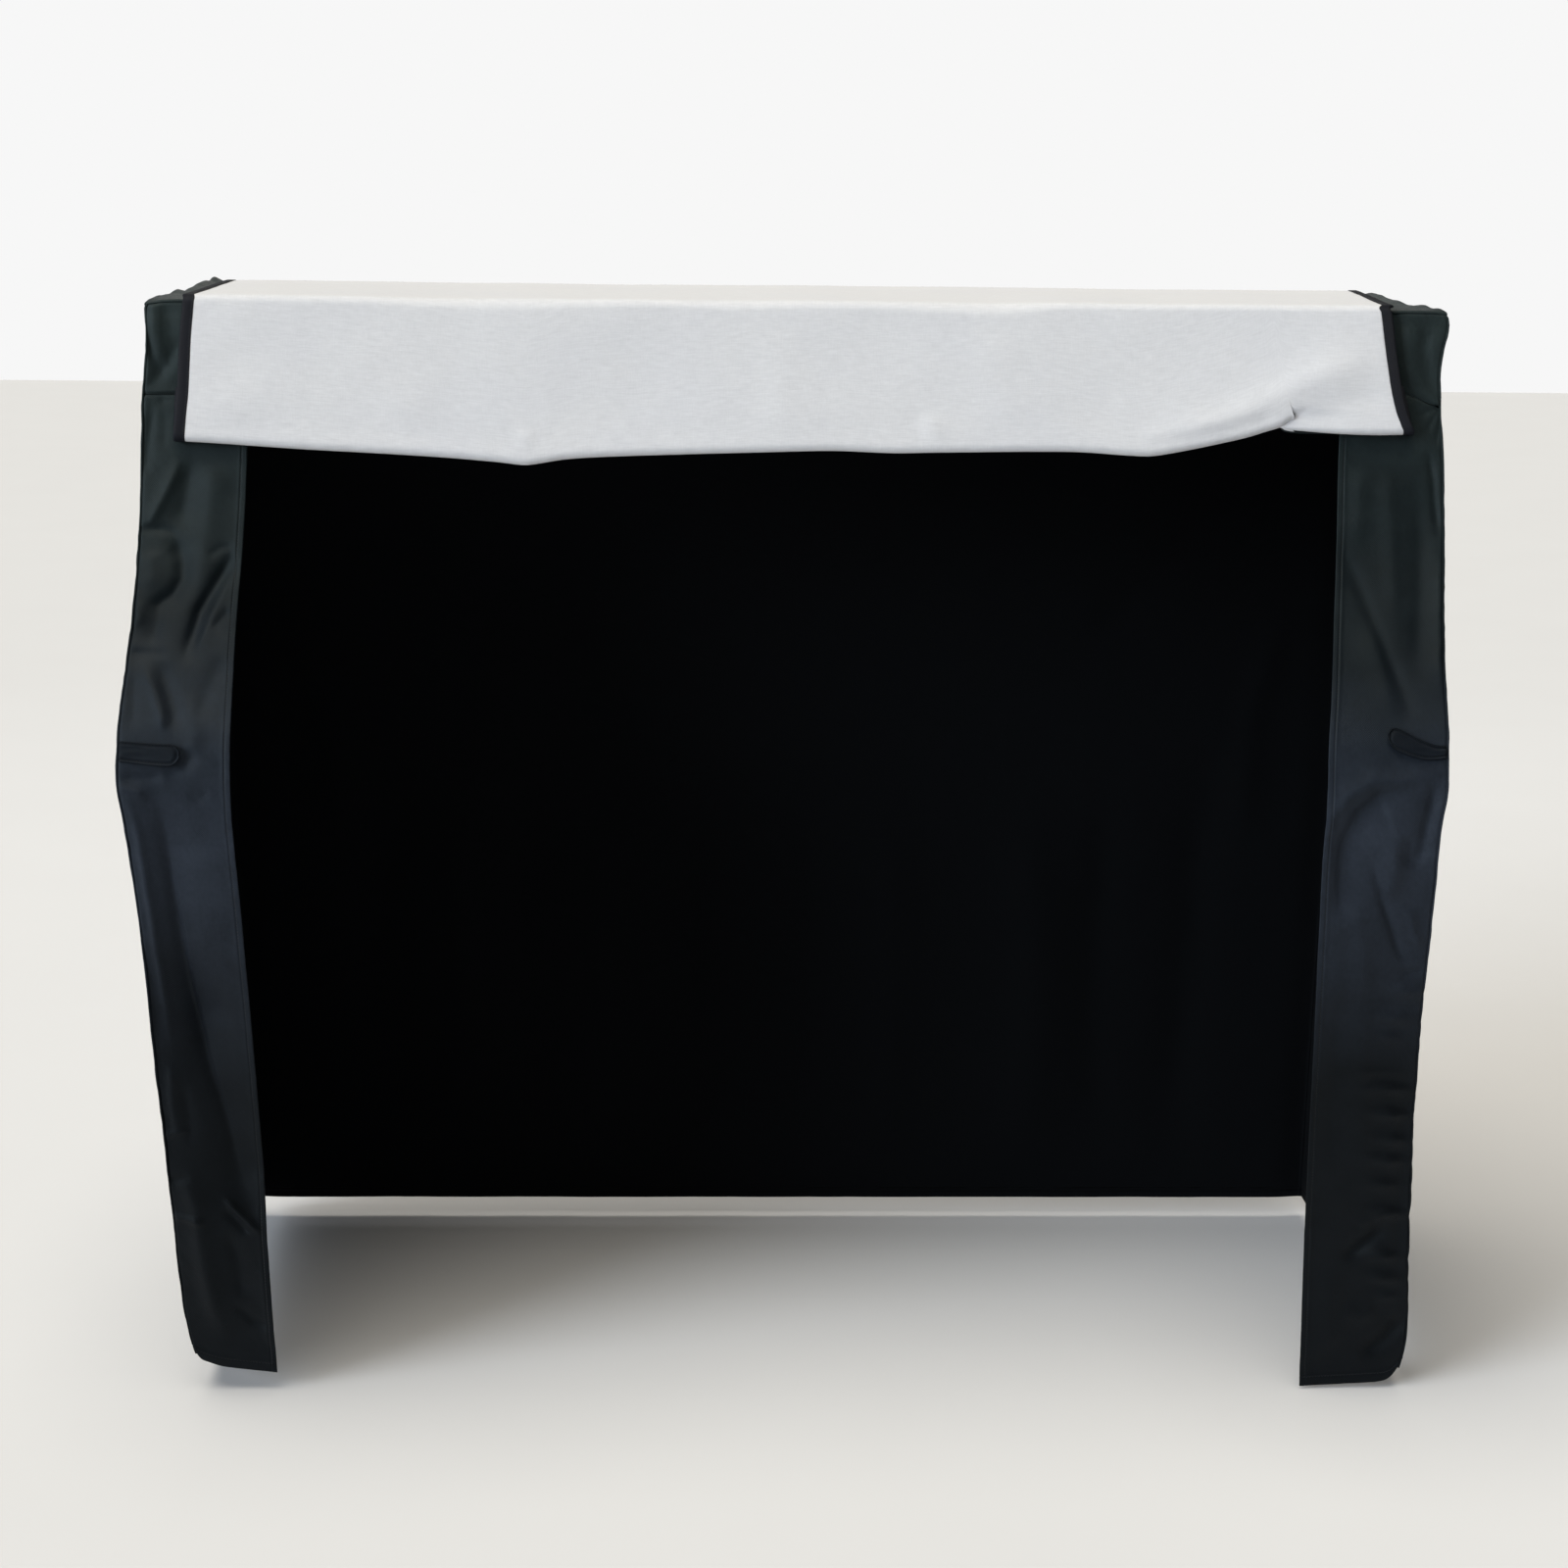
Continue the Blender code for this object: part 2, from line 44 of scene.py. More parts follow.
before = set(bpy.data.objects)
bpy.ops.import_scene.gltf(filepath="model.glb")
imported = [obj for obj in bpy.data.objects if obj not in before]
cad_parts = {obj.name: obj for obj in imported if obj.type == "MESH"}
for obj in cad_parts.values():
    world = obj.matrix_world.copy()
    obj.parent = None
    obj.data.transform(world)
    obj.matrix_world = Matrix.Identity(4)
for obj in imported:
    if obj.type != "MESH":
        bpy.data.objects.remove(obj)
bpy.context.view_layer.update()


def table(columns, *rows, count=None):
    """Rows of a short table, each read by its columns' names.

    Lengths are written in millimetres and read in metres; a column that counts stays.
    """
    return [{name: value if name == count else value / 1000.0
             for name, value in zip(columns, row)} for row in rows]


def creases(*rows):
    """Creases of a cloth, written in millimetres and read in metres.

    A row gives half the crease's width on the seam's (or upper) side and on the other, and
    its rise, negative in a trough. Then come the points of its path, "in" from the outer
    seam and "down"; it runs downwards, or if it is level from the opening to the seam.
    """
    return [{"near": near / 1000.0, "far": far / 1000.0, "rise": rise / 1000.0,
             "path": np.array(path) / 1000.0} for near, far, rise, *path in rows]


# ------------------------------------------------------------------ sizes of the cover
CLOTH = 0.0020           # black cloth of the body
FLAP_CLOTH = 0.0012      # black cloth of the flap
LINING = 0.0010          # pale lining on the flap's reverse
SEAM_GAP = 0.0005        # between the top and the walls under it
BUTT_GAP = 0.0004        # between pieces that meet edge to edge round a corner
STRIP_GAP = 0.0004       # between the yoke and the strips under it
LAYER_GAP = 0.0006       # between the flap and its lining
FLAP_STACK = FLAP_CLOTH + LAYER_GAP + LINING
RIM_SLACK = 0.12         # extra room under the top's rim, as a part of its lift
OUTWARD = {"left": -1.0, "right": 1.0}    # which way each side faces along X

FRONT = -0.178           # front face of the cover at its top edge
BACK = 0.178             # face of the back panel
FLOOR = -1.2895          # just under the hems
FLOOR_HALF = 14.0        # half the floor's width
BACK_HALF_WIDTH = 0.757
SHOULDER = 0.010         # how far the walls lean in at the rim of the top
SHOULDER_HEIGHT = 0.020
BACK_TAPER = 0.012       # how far the back corners draw in on their way down
BACK_HEM = 1.262
FRONT_HEM_PART = 0.07    # last part of a side's width, where its hem rises to the strip's
BACK_DIP = 0.004         # how far the back panel sinks in below its top edge
SEAM_STILL = 0.045       # side and back folds fade out this near to a seam
YOKE_FOOT = 0.106        # seam under the yoke, at its left end
YOKE_STILL = 0.60        # its middle lies flat this far to each side, under the flap

FLAP_LEFT = -0.711       # the flap's long edges, for placing its creases
FLAP_RIGHT = 0.708
FLAP_LAP = 0.008         # how far its seam lies above the yoke's
FLAP_STAND = 0.0013      # how far it stands off the yoke there
FLAP_CLEAR = 0.0065      # how far it stands off the front and back edges of the top
FLAP_CREST = 0.0032      # how far it lies above the top
FLAP_HANG = 0.570        # how far down its free end hangs behind
FLAP_LEVEL = 0.165       # where its front hangs even
FLAP_COVERS = (0.100, 0.172)    # levels between which it lies over the strips
FLAP_FLARE = 0.014       # how far its free end swings away from the back
FLAP_UNEVEN = 0.0008     # ups and downs over the top
HEM_UNEVEN = 0.006       # ups and downs of its free end
FOLD_RADIUS = 0.005
BACK_TURN = 0.008        # radius round the back edge of the top
TOP_PRESS = 0.75         # part of its creases that the top presses flat
TROUGH_SHARE = 0.6       # part of their depth that its troughs keep
BINDING_GAP = 0.0016     # from the line of the flap's edge to the binding's inner edges
TUCKED = 0.0060          # how far the flap's edge reaches into the folded binding

TAB_LENGTH = 0.068
TAB_WIDTH = 0.023
TAB_INWARD = 0.004       # from the outer seam to the tab's root
TAB_GAP = 0.0009         # between a tab and the strip under it
TAB_CURL = 0.0028        # how far its round end stands up
TAB_STILL = 0.026        # the strip lies still this far above and below its tab's middle
TAB_PRESS = 0.85         # part of the strip's creases that the tab presses flat
TAB_BORDER = 0.0034      # width of its raised border
TAB_BORDER_RISE = 0.0005
TAB_CUP = 0.0006         # how far its long edges curl up
TAB_DOWN = {"left": 0.483, "right": 0.4765}
TAB_SAG = {"left": 0.003, "right": -0.0165}
TAB_BEND = {"left": 0.001, "right": 0.0045}
TAB_NECK = {"left": 0.94, "right": 0.55}    # its width at the seam, as a part of the whole

# Level sections through the cover, from the top down. "reach" is how far the front seams
# stand forward of the top edge; the others are distances right of the middle.
SECTIONS = table(
    ("down", "reach", "left_seam", "left_edge", "right_edge", "right_seam"),
    (0, 0, -759, -640, 640, 764.5),
    (6, 1, -759.3, -640, 640, 767.2),
    (13, 2, -759.5, -640, 640, 768.4),
    (24, 5, -759, -640, 640, 767.2),
    (46, 8, -758.8, -640, 640, 761.8),
    (70, 12, -760.5, -640, 640, 759.2),
    (106, 18, -764, -640, 640, 760.5),
    (190, 44, -763.5, -640, 636, 763),
    (270, 79, -762.5, -641, 631, 760),
    (350, 134, -762, -641.5, 620, 750),
    (420, 189, -763.5, -639, 609, 743),
    (470, 224, -764.5, -637, 601, 739),
    (520, 239, -764, -636.5, 599, 738),
    (570, 239, -758, -636, 598.5, 733.5),
    (670, 231, -750, -632, 601, 733),
    (870, 214, -742, -627, 608, 733),
    (1070, 197, -734, -624, 614.5, 742.5),
    (1170, 188, -730, -622, 619, 750),
    (1212, 185, -725, -621.3, 621, 752.5),
    (1242, 183, -718, -620.8, 622.3, 750.2),
    (1262, 181, -715, -620.4, 623.2, 746),
    (1290, 179, -712, -620, 624.5, 740),
)

# Seam under the yoke: it runs a little uphill to the right, and drops at its end.
YOKE_SEAM = table(
    ("x", "down"),
    (-770, 106.2), (-700, 105.2), (-200, 101), (400, 95.5), (640, 91.8), (695, 91), (712, 93),
    (730, 98), (748, 105.5), (770, 111.5),
)

# Foot of each front strip: how far down it hangs, from its outer seam inwards.
STRIP_FEET = table(
    ("inward", "left", "right"),
    (0, 1240, 1262),
    (6, 1247, 1273),
    (14, 1250, 1279),
    (40, 1257, 1282),
    (130, 1265, 1286),
)

# Under edge of the folded flap: it sags between a few points, and one pleat lifts it.
FLAP_FOLD = table(
    ("x", "down"),
    (-730, 154), (-674, 156.8), (-573, 162.8), (-471, 167.6), (-403, 171.4), (-345, 176),
    (-318, 179), (-306, 178), (-266, 171.7), (-198, 167.8), (-27, 161.9), (42, 160.2),
    (110, 162.2), (158, 161.2), (316, 159.2), (386, 163), (411, 163.2), (454, 155.8),
    (488, 148.7), (523, 140.5), (545, 133.4), (560, 128.2), (573.5, 120), (578.5, 131.2),
    (585, 134.5), (595, 135.8), (626, 137.3), (661, 137.6), (730, 136),
)
PLEAT_X = 0.5740         # peak of the pleat in the fold
PLEAT_DOWN = 0.1100      # where it dies away upwards
PLEAT_WIDTH = 0.040
PLEAT_STEP = 0.0045      # cloth that runs back behind the peak
PLEAT_RISE = 0.0014      # how far the left side stands out
PLEAT_SINK = 0.0048      # how far the right side sinks behind it
PLEAT_TUCK = 0.0280      # how far the right side reaches in behind
PLEAT_END = 0.680
PLEAT_MARKS = (-24, -18, -13, -9, -6, -3.6, -1.8, -0.8, 0, 0.5, 1, 1.5, 2, 2.5, 3, 3.5, 4, 4.8,
               6, 8, 11, 15, 20, 26, 32)    # grid lines across it, in millimetres

# Long edges of the flap at the corners of its path, from its seam to its free end.
FLAP_EDGES = table(
    ("corner", "left", "right"),
    (0, -709, 699),    # seam
    (1, -710, 710),    # fold, inner side
    (2, -708.6, 709.6),    # fold, outer side
    (2.1, -708.2, 706.8),
    (2.2, -706.6, 700.4),
    (2.35, -703.8, 694.2),
    (2.5, -702.4, 689.8),
    (2.7, -700.8, 685.2),
    (2.9, -698.4, 681.5),
    (3, -697.8, 680),    # front edge of the top
    (4, -718, 733),    # back edge of the top
    (5, -730, 742),    # free end
    count="corner",
)

# Section of a folded binding, round its outer face and back along its inner one: "out"
# from its inner edges, and "up" from the flap's black face.
BINDING_SECTION = table(
    ("out", "up"),
    (-0.2, 0.3), (0.4, 0.6), (3, 0.6), (6, 0.6), (10.4, 0.6), (12.3, 0), (13.2, -1.4),
    (12.3, -2.8), (10.4, -3.4), (6, -3.4), (3, -3.3), (1.8, -3.1), (0.8, -3.3), (0.3, -3.4),
    (-0.2, -3.2), (0.2, -2.9), (6, -2.9), (10.6, -2.7), (12, -1.4), (10.6, 0), (6, 0.1),
    (0.2, 0.1),
)
BINDING_STITCHES = 11    # which of these points carries the stitches

# How the flap rounds the front edge of the top: lower and rounder where it droops.
FLAP_BROW = table(
    ("x", "droop", "turn"),
    (-700, 0, 8), (-539, 0, 9.5), (-358, 1.6, 15), (-199, 0.2, 10), (-62, 1, 13), (98, 0.5, 11),
    (237, 1.8, 16.5), (327, 0, 9), (700, 0, 7.5),
)

# Corners of the top's rim that stand up or slump: where, how far, and over what radius.
RIM_CORNERS = table(
    ("x", "y", "lift", "radius"),
    (-747, 178, 9, 19),
    (747, 178, 2, 30),
    (-758, -178, -3, 16),
    (762, -178, -1.4, 12),
)

# Lumps along the seam at each end of the top: where along it, how high, and half their length.
RIM_LUMPS = table(
    ("x", "y", "lift", "length"),
    (-752, -120, 1.4, 18), (-753, -84, 1.2, 22), (-751, -30, 4.4, 20), (-750, 40, 3, 22),
    (-749, 80, 5.6, 26), (-748, 122, 8.4, 30), (-747, 158, 3.4, 20), (760, -156, 2, 18),
    (757, -96, 3, 22), (753, 2, 2.8, 20), (751, 36, 3, 20), (749, 72, 6, 24),
    (747, 112, 7.2, 26), (746, 152, 2, 18),
)
LUMP_WIDTH = 0.012       # how far the lumps reach in from the end of the top
LUMP_SHARE = 0.8         # part of a lump's lift that the wall under it follows

# Creases of the front strips and of the yoke's ends above them.
STRIP_CREASES = {
    "left": creases(
        # over the yoke's end: an upright ridge with a trough slung under it
        (5, 5, 4.4, (11, -10), (13, 30), (16, 70)),
        (5, 6, -5, (3, 30), (8, 60), (18, 80), (30, 62), (44, 36)),
        (4, 5, -2.8, (0, 94), (12, 92), (28, 76), (42, 62)),
        (8, 8, -2.2, (27, 0), (31, 50)),
        (2.6, 2.6, 1.4, (52, 101.5), (20, 102.5), (-2, 103)),
        # gathered under the yoke
        (3, 4, -2.4, (56, 114), (36, 113), (16, 113.5)),
        (6, 6, -2.4, (14, 112), (10, 150), (6, 200)),
        (6, 8, -1.8, (30, 116), (28, 170)),
        # long slanting ridge, and the valley beside it that bends into a crescent
        (9, 6, 4.6, (50, 155), (41, 195), (31, 216), (17, 243), (6, 264)),
        (14, 18, -5.6, (62, 150), (55, 202), (49, 242), (50, 268)),
        (10, 14, -8.5, (30, 262), (44, 272), (52, 290), (53, 310), (44, 326), (30, 336),
         (20, 344)),
        (5, 6, -4, (50, 264), (30, 256), (14, 255), (-2, 256)),
        (10, 12, 3, (16, 276), (20, 300), (16, 322)),
        (16, 10, -5.8, (26, 322), (30, 344), (28, 366), (22, 384)),
        (8, 7, 2.6, (10, 330), (10, 360)),
        (16, 20, 3.6, (86, 160), (82, 230), (78, 290), (74, 330)),
        # diagonal crease off the hem, under a shallow lens
        (8, 14, -9.5, (116, 272), (101, 300), (86.5, 325), (76, 345), (69, 376), (66, 402)),
        (5, 5, -2.2, (114, 275), (98, 275), (80, 286)),
        (5, 6, -2.6, (114, 340), (103, 350), (92, 362)),
        (7, 9, 3.2, (114, 300), (98, 332), (86, 362), (80, 392)),
        (14, 14, -3.4, (112, 384), (98, 420), (88, 456)),
        (14, 12, 2.4, (76, 420), (86, 462), (82, 500)),
        # arch over the tab
        (5, 6, -3, (52, 386), (28, 384.5), (0, 385)),
        (9, 7, 5.6, (14, 390), (22, 398), (36, 417.5), (48, 441), (56, 474)),
        (8, 13, -5.2, (32, 388), (48, 414), (61, 442), (70, 474)),
        (6, 8, -2.6, (10, 400), (14, 430), (18, 466)),
        # the hollow under the tab's round end, and the pull below it
        (8, 8, -4.6, (88, 478), (76, 500), (50, 508)),
        (6, 7, -4.6, (56, 509), (30, 512), (4, 510)),
        (6, 8, 3.6, (36, 532), (16, 526), (-2, 520)),
        (4, 4, -1.6, (104, 526), (90, 537), (78, 527)),
        # long valley down the strip: a dark slope on its seam side, a broad bright one beyond
        (18, 40, -10.5, (40, 492), (46, 532), (45.5, 590), (42.4, 678), (48, 774), (58, 855),
         (66, 890)),
        (32, 50, -17.5, (42.4, 700), (48, 774), (58, 855), (69, 910), (84.5, 1015),
         (100.4, 1053.5), (116, 1100)),
        (7, 4, -4.6, (46, 530), (42, 650), (47, 774), (58, 855), (69, 910), (84.5, 1015),
         (96, 1045)),
        (5, 7, 4.6, (10, 505), (15, 580), (15.5, 650), (17.5, 720), (20, 790), (22, 860)),
        (6, 10, 3.6, (20, 850), (16, 910), (18, 960)),
        (6, 7, -2.6, (30, 880), (32, 930), (28, 970)),
        (16, 20, 7.2, (16, 970), (30, 1040), (34, 1130), (44, 1230)),
        # small pulls towards the outer seam
        (4, 5, 2.6, (34, 944), (16, 946), (-2, 952)),
        (4, 6, 3, (42, 1062), (20, 1058), (-2, 1052)),
        (4, 5, -2, (30, 1002), (14, 1006), (-2, 1010)),
        # pinch at the foot of the valley
        (4, 4, 6, (60, 1030), (73.5, 1045.5), (88, 1062), (104, 1081)),
        (6, 4, -3.4, (60, 1046), (74, 1062), (90, 1082)),
        (10, 14, -3.4, (62, 1070), (72, 1110), (74, 1170)),
        (12, 12, 3.4, (100, 1110), (104, 1170), (98, 1240)),
        (6, 9, -2.2, (60, 1170), (82, 1196), (108, 1204)),
    ),
    "right": creases(
        # over the yoke's end: two upright troughs, and a star of pulls at the seam
        (6, 6, -5.2, (64, -10), (60, 30), (53, 68), (44, 104)),
        (5, 6, -4.2, (31, 2), (24, 40), (15, 74), (6, 96)),
        (8, 7, 2, (44, 6), (40, 56), (26, 96)),
        (5, 5, 1.2, (14, 20), (10, 66)),
        (3, 3, -3.2, (30, 119), (12, 111), (-3, 106)),
        (3, 3, -2.8, (22, 140), (9, 120), (-2, 106)),
        (3, 3, -2.4, (10, 156), (4, 130), (-1, 106)),
        (3, 3, 2.4, (30, 86), (14, 98), (-2, 106)),
        (3, 4, 0.5, (44, 98), (26, 104), (6, 109)),
        # under the yoke
        (4, 5, -4, (20, 150), (14.5, 187), (10, 230), (8, 262)),
        (14, 16, 3.4, (70, 150), (66, 227), (62.5, 300), (58, 366)),
        (15, 14, -4, (34, 170), (30, 250), (28.7, 330), (34, 420)),
        (8, 8, 3, (6, 260), (8, 340), (8, 430)),
        (16, 14, 3, (100, 150), (102, 210), (104, 270)),
        # long diagonal pull down to the tab
        (10, 10, -4.4, (128, 252), (119.2, 274.7), (95.3, 320.3), (70.8, 373.1), (51.5, 415.7),
         (36, 458)),
        (12, 16, 3, (92, 340), (74, 396), (62, 450)),
        # arc under the tab
        (10, 14, 4.6, (6, 500), (50, 508), (88.8, 509.7), (114.5, 526.2), (130.4, 553.8),
         (132.7, 600)),
        (34, 10, -9.6, (40, 522), (76.5, 526.1), (95.7, 546.8), (109, 581.6), (110.5, 629),
         (104, 680)),
        (8, 10, -6.4, (18, 500), (16, 540), (18, 590), (30, 624)),
        (14, 16, 5.6, (58, 560), (50, 610), (60, 660)),
        (10, 10, -3.6, (34, 570), (32, 616)),
        (7, 7, -5.6, (80, 594), (73.7, 612.2), (62, 646), (48.2, 681.6), (34, 716), (18, 742)),
        (16, 16, 3.6, (96, 650), (82, 700), (72, 780)),
        (7, 7, 3.6, (30, 660), (22, 690), (10, 712)),
        (4, 4, -2.6, (34, 744), (20, 742), (2, 736)),
        # down the strip
        (12, 22, 2, (70, 740), (66, 840), (58, 960), (56, 1080)),
        (22, 18, -4, (94, 740), (98, 860), (98, 1000)),
        (10, 14, -3, (12, 860), (12, 960), (14, 1060), (12, 1160)),
        (4, 4, 1.4, (84, 868), (50, 866), (6, 868)),
        (5, 5, -1.4, (80, 882), (44, 878), (4, 880)),
        (11, 9, -6.6, (84, 1114), (65, 1102), (44, 1084), (27, 1064)),
        (6, 7, 2.6, (66, 1066), (50, 1060), (30, 1052)),
        (14, 12, -6.4, (60, 1244), (33.7, 1230), (17, 1208), (4, 1186)),
        (16, 14, 3.4, (84, 1180), (60, 1190), (36, 1180)),
        (18, 16, 3.4, (94, 1120), (100, 1180), (94, 1250)),
    ),
}

# Short pulls along the right strip's outer seam, where its stitching has drawn up.
SEAM_PULLS = table(
    ("inward", "down", "length", "rise"),
    (22, 763, 18, 4.6), (34, 797, 19, 4), (36, 822, 16, 3), (34, 887, 24, 5), (28, 921, 22, 6),
    (24, 954, 20, 5.2), (29, 981, 21, 5.6), (34, 1013, 18, 4.6), (26, 1050, 22, 6.6),
    (33, 1108, 20, 6.2), (32, 1137, 18, 5.2), (28, 1162, 14, 3),
)
PULL_OVER = 0.0070       # how far each swells above its line,
PULL_UNDER = 0.0090      # and below it
PULL_SLANT = -0.12       # how steeply they drop on their way in
PULL_DRAW = 0.16         # how far they draw the seam in, as a part of their rise,
PULL_DRAW_DOWN = 0.004   # this far below their line,
PULL_DRAW_REACH = 0.006  # over this length of seam each way

# The same for the side panels, with "in" counted from the front seam towards the back.
SIDE_CREASES = {
    "left": creases(
        (30, 24, -7, (330, 90), (190, 240), (60, 470)),
        (26, 34, 7, (430, 260), (280, 370), (110, 505)),
        (16, 14, -3.6, (300, 240), (190, 350), (80, 480)),
        (20, 24, -5, (440, 420), (290, 490), (120, 560)),
        (28, 34, 9.5, (75, 560), (98, 740), (112, 960), (108, 1240)),
        (18, 22, -6, (150, 600), (160, 800), (150, 1020), (158, 1240)),
        (30, 30, -6, (214, 620), (206, 840), (214, 1060), (204, 1250)),
        (20, 24, 6, (262, 640), (268, 860), (258, 1080), (266, 1250)),
        (30, 26, 7, (322, 560), (330, 800), (322, 1020), (334, 1250)),
        (22, 22, -6.4, (386, 660), (378, 900), (388, 1240)),
        (22, 26, -5, (440, 640), (436, 920), (430, 1250)),
        (16, 18, 3, (60, 20), (64, 120), (50, 230)),
        (16, 20, -2.8, (180, 10), (172, 90), (180, 200)),
        (16, 18, 2.4, (290, 10), (296, 110)),
        (10, 10, -3.4, (110, 1080), (70, 1140), (30, 1200)),
    ),
    "right": creases(
        (26, 28, -6.4, (320, 70), (200, 210), (70, 440)),
        (30, 28, 7.4, (440, 290), (300, 390), (130, 500)),
        (14, 16, -3.4, (330, 270), (210, 360), (90, 466)),
        (20, 22, -4.6, (430, 440), (270, 505), (100, 570)),
        (30, 28, 8.5, (90, 570), (84, 760), (100, 980), (94, 1250)),
        (20, 18, -6.6, (146, 610), (140, 840), (152, 1060), (146, 1250)),
        (24, 22, 5, (204, 640), (212, 860), (202, 1070), (210, 1250)),
        (24, 26, -7, (262, 600), (254, 860), (264, 1250)),
        (28, 28, 7.8, (332, 570), (322, 810), (332, 1040), (320, 1250)),
        (20, 22, -5.6, (396, 700), (402, 940), (392, 1250)),
        (18, 16, 2.8, (70, 10), (60, 110), (66, 220)),
        (18, 18, -3, (200, 10), (206, 80), (194, 190)),
        (6, 7, 2.6, (60, 870), (30, 880), (2, 884)),
        (6, 7, 2.4, (60, 960), (34, 966), (2, 970)),
        (6, 7, 2.6, (58, 1050), (30, 1046), (2, 1044)),
    ),
}

# The same for the back panel, with "in" counted from its left corner.
BACK_CREASES = creases(
    (50, 60, 8, (215, 560), (196, 900), (208, 1250)),
    (34, 30, -6, (300, 640), (318, 960), (306, 1250)),
    (36, 34, 4.4, (410, 600), (400, 900), (414, 1250)),
    (50, 46, -7, (490, 640), (502, 960), (494, 1250)),
    (44, 40, 5.2, (640, 600), (626, 940), (640, 1250)),
    (54, 50, 7.2, (800, 600), (788, 940), (776, 1250)),
    (34, 36, -5.4, (900, 660), (912, 980), (902, 1250)),
    (50, 54, -7.8, (1090, 640), (1112, 960), (1100, 1250)),
    (34, 36, 4.8, (1200, 600), (1190, 960), (1206, 1250)),
    (46, 42, 7, (1335, 560), (1318, 940), (1304, 1250)),
    (30, 34, 4, (60, 50), (220, 280), (420, 520)),
    (34, 30, 4, (1450, 50), (1300, 300), (1120, 520)),
    (24, 26, -4, (80, 420), (140, 560), (160, 740)),
    (26, 24, -4, (1430, 400), (1390, 560), (1384, 760)),
)

# Creases of the flap's front face and of the part that hangs behind: "x", then "up", the
# distance along the cloth up from where its fold mostly hangs. Rises are away from the cover.
FLAP_CREASES = creases(
    (4, 5, 2.8, (-318, -20), (-317, 0), (-314, 28)),
    (8, 12, 1.6, (160, -6), (157, 18), (162, 50)),
    (10, 6, -1.4, (146, -4), (138, 28), (150, 54)),
    (5, 7, 1.8, (411, -6), (413, 14), (418, 34)),
    (24, 26, 4.4, (390, 0), (460, 22), (520, 46), (600, 82), (710, 124)),
    (5, 10, -2.6, (586, 18), (592, 36), (604, 60)),
    (16, 16, -1.6, (600, 40), (640, 58), (700, 72)),
    (30, 34, 0.9, (-700, 20), (-640, 60), (-560, 120)),
    (40, 44, 1, (-470, 10), (-440, 80), (-450, 150)),
    (30, 30, -1, (-210, 10), (-180, 80), (-200, 150)),
    (36, 34, 1.2, (-30, 10), (-20, 90), (-40, 150)),
    (30, 34, 1.4, (260, 20), (240, 90), (250, 150)),
    (30, 26, -1, (350, 20), (370, 100)),
    (50, 60, 9.5, (-600, 660), (-590, 860), (-610, 1130)),
    (45, 45, -6, (-430, 720), (-440, 900), (-420, 1130)),
    (50, 52, 10, (-220, 640), (-240, 860), (-220, 1130)),
    (50, 50, -6.6, (0, 700), (20, 900), (0, 1130)),
    (50, 56, 9.6, (200, 640), (210, 860), (190, 1130)),
    (45, 45, -6, (380, 700), (370, 900), (390, 1130)),
    (50, 52, 9.8, (590, 660), (580, 860), (600, 1130)),
)

# Width and height of each cloth as it is laid, and the steps of its grid.
TOP_WIDTH, TOP_STEP = 1.500, 0.0080
YOKE_WIDTH, YOKE_STEP = 1.510, 0.0060
YOKE_HEIGHT, YOKE_LEVEL_STEP = 0.104, 0.0045
STRIP_WIDTH, STRIP_HEIGHT, STRIP_STEP = 0.130, 1.210, 0.0031
SIDE_WIDTH, SIDE_STEP = 0.480, 0.0085
SIDE_HEIGHT, SIDE_LEVEL_STEP = 1.255, 0.0070
BACK_WIDTH, BACK_HEIGHT, BACK_STEP = 1.500, 1.260, 0.0105
FLAP_WIDTH, FLAP_STEP = 1.420, 0.0080
FLAP_RUNS = (8, 2, 40, 44, 60)    # steps along the flap's straight runs
FLAP_TURNS = (6, 6, 8, 8)         # steps round its corners
TAB_STEP, TAB_ACROSS_STEP = 0.0026, 0.0016

# How the edges are sewn.
EDGES = ("left", "right", "top", "foot")
ALL_SEAMS = dict.fromkeys(EDGES, "seam")
SEAM_MARKS = (0.0, 0.0006, 0.0013, 0.0021, 0.0032, 0.0050)    # grid lines beside a seam
HEM_STITCHES = 7         # which of a hem's grid lines carries the stitches
HEM_RISE = 0.0006        # how far a hem's double cloth stands up
HEM_SHOULDER = 0.0022
DENT = 0.0007            # how deep a row of stitches draws the cloth in
DENT_WIDTH = 0.0009
STITCH_IN = 0.0018       # from a hem's turned edge to its stitches
SEAM_ROLL = 0.0012       # how far a sewn edge turns in
SEAM_ROLL_WIDTH = 0.0022
PUCKER = 0.0006          # unevenness that stitching draws up
PUCKER_REACH = 0.014
PUCKER_SIZE = 0.011
TAB_GROOVE = 0.0023      # from a tab's edge to the groove that its stitches draw,
TAB_STITCHES = 0.0022    # and to the stitches
TAB_GROOVE_DEPTH = 0.0022
TAB_GROOVE_WIDTH = 0.0011
STITCH_SIDES = 5         # flat sides round a thread
RIB = 0.0011             # between two ribs of the tape
FADE_PART = 0.28         # part of a crease's length over which each end dies away

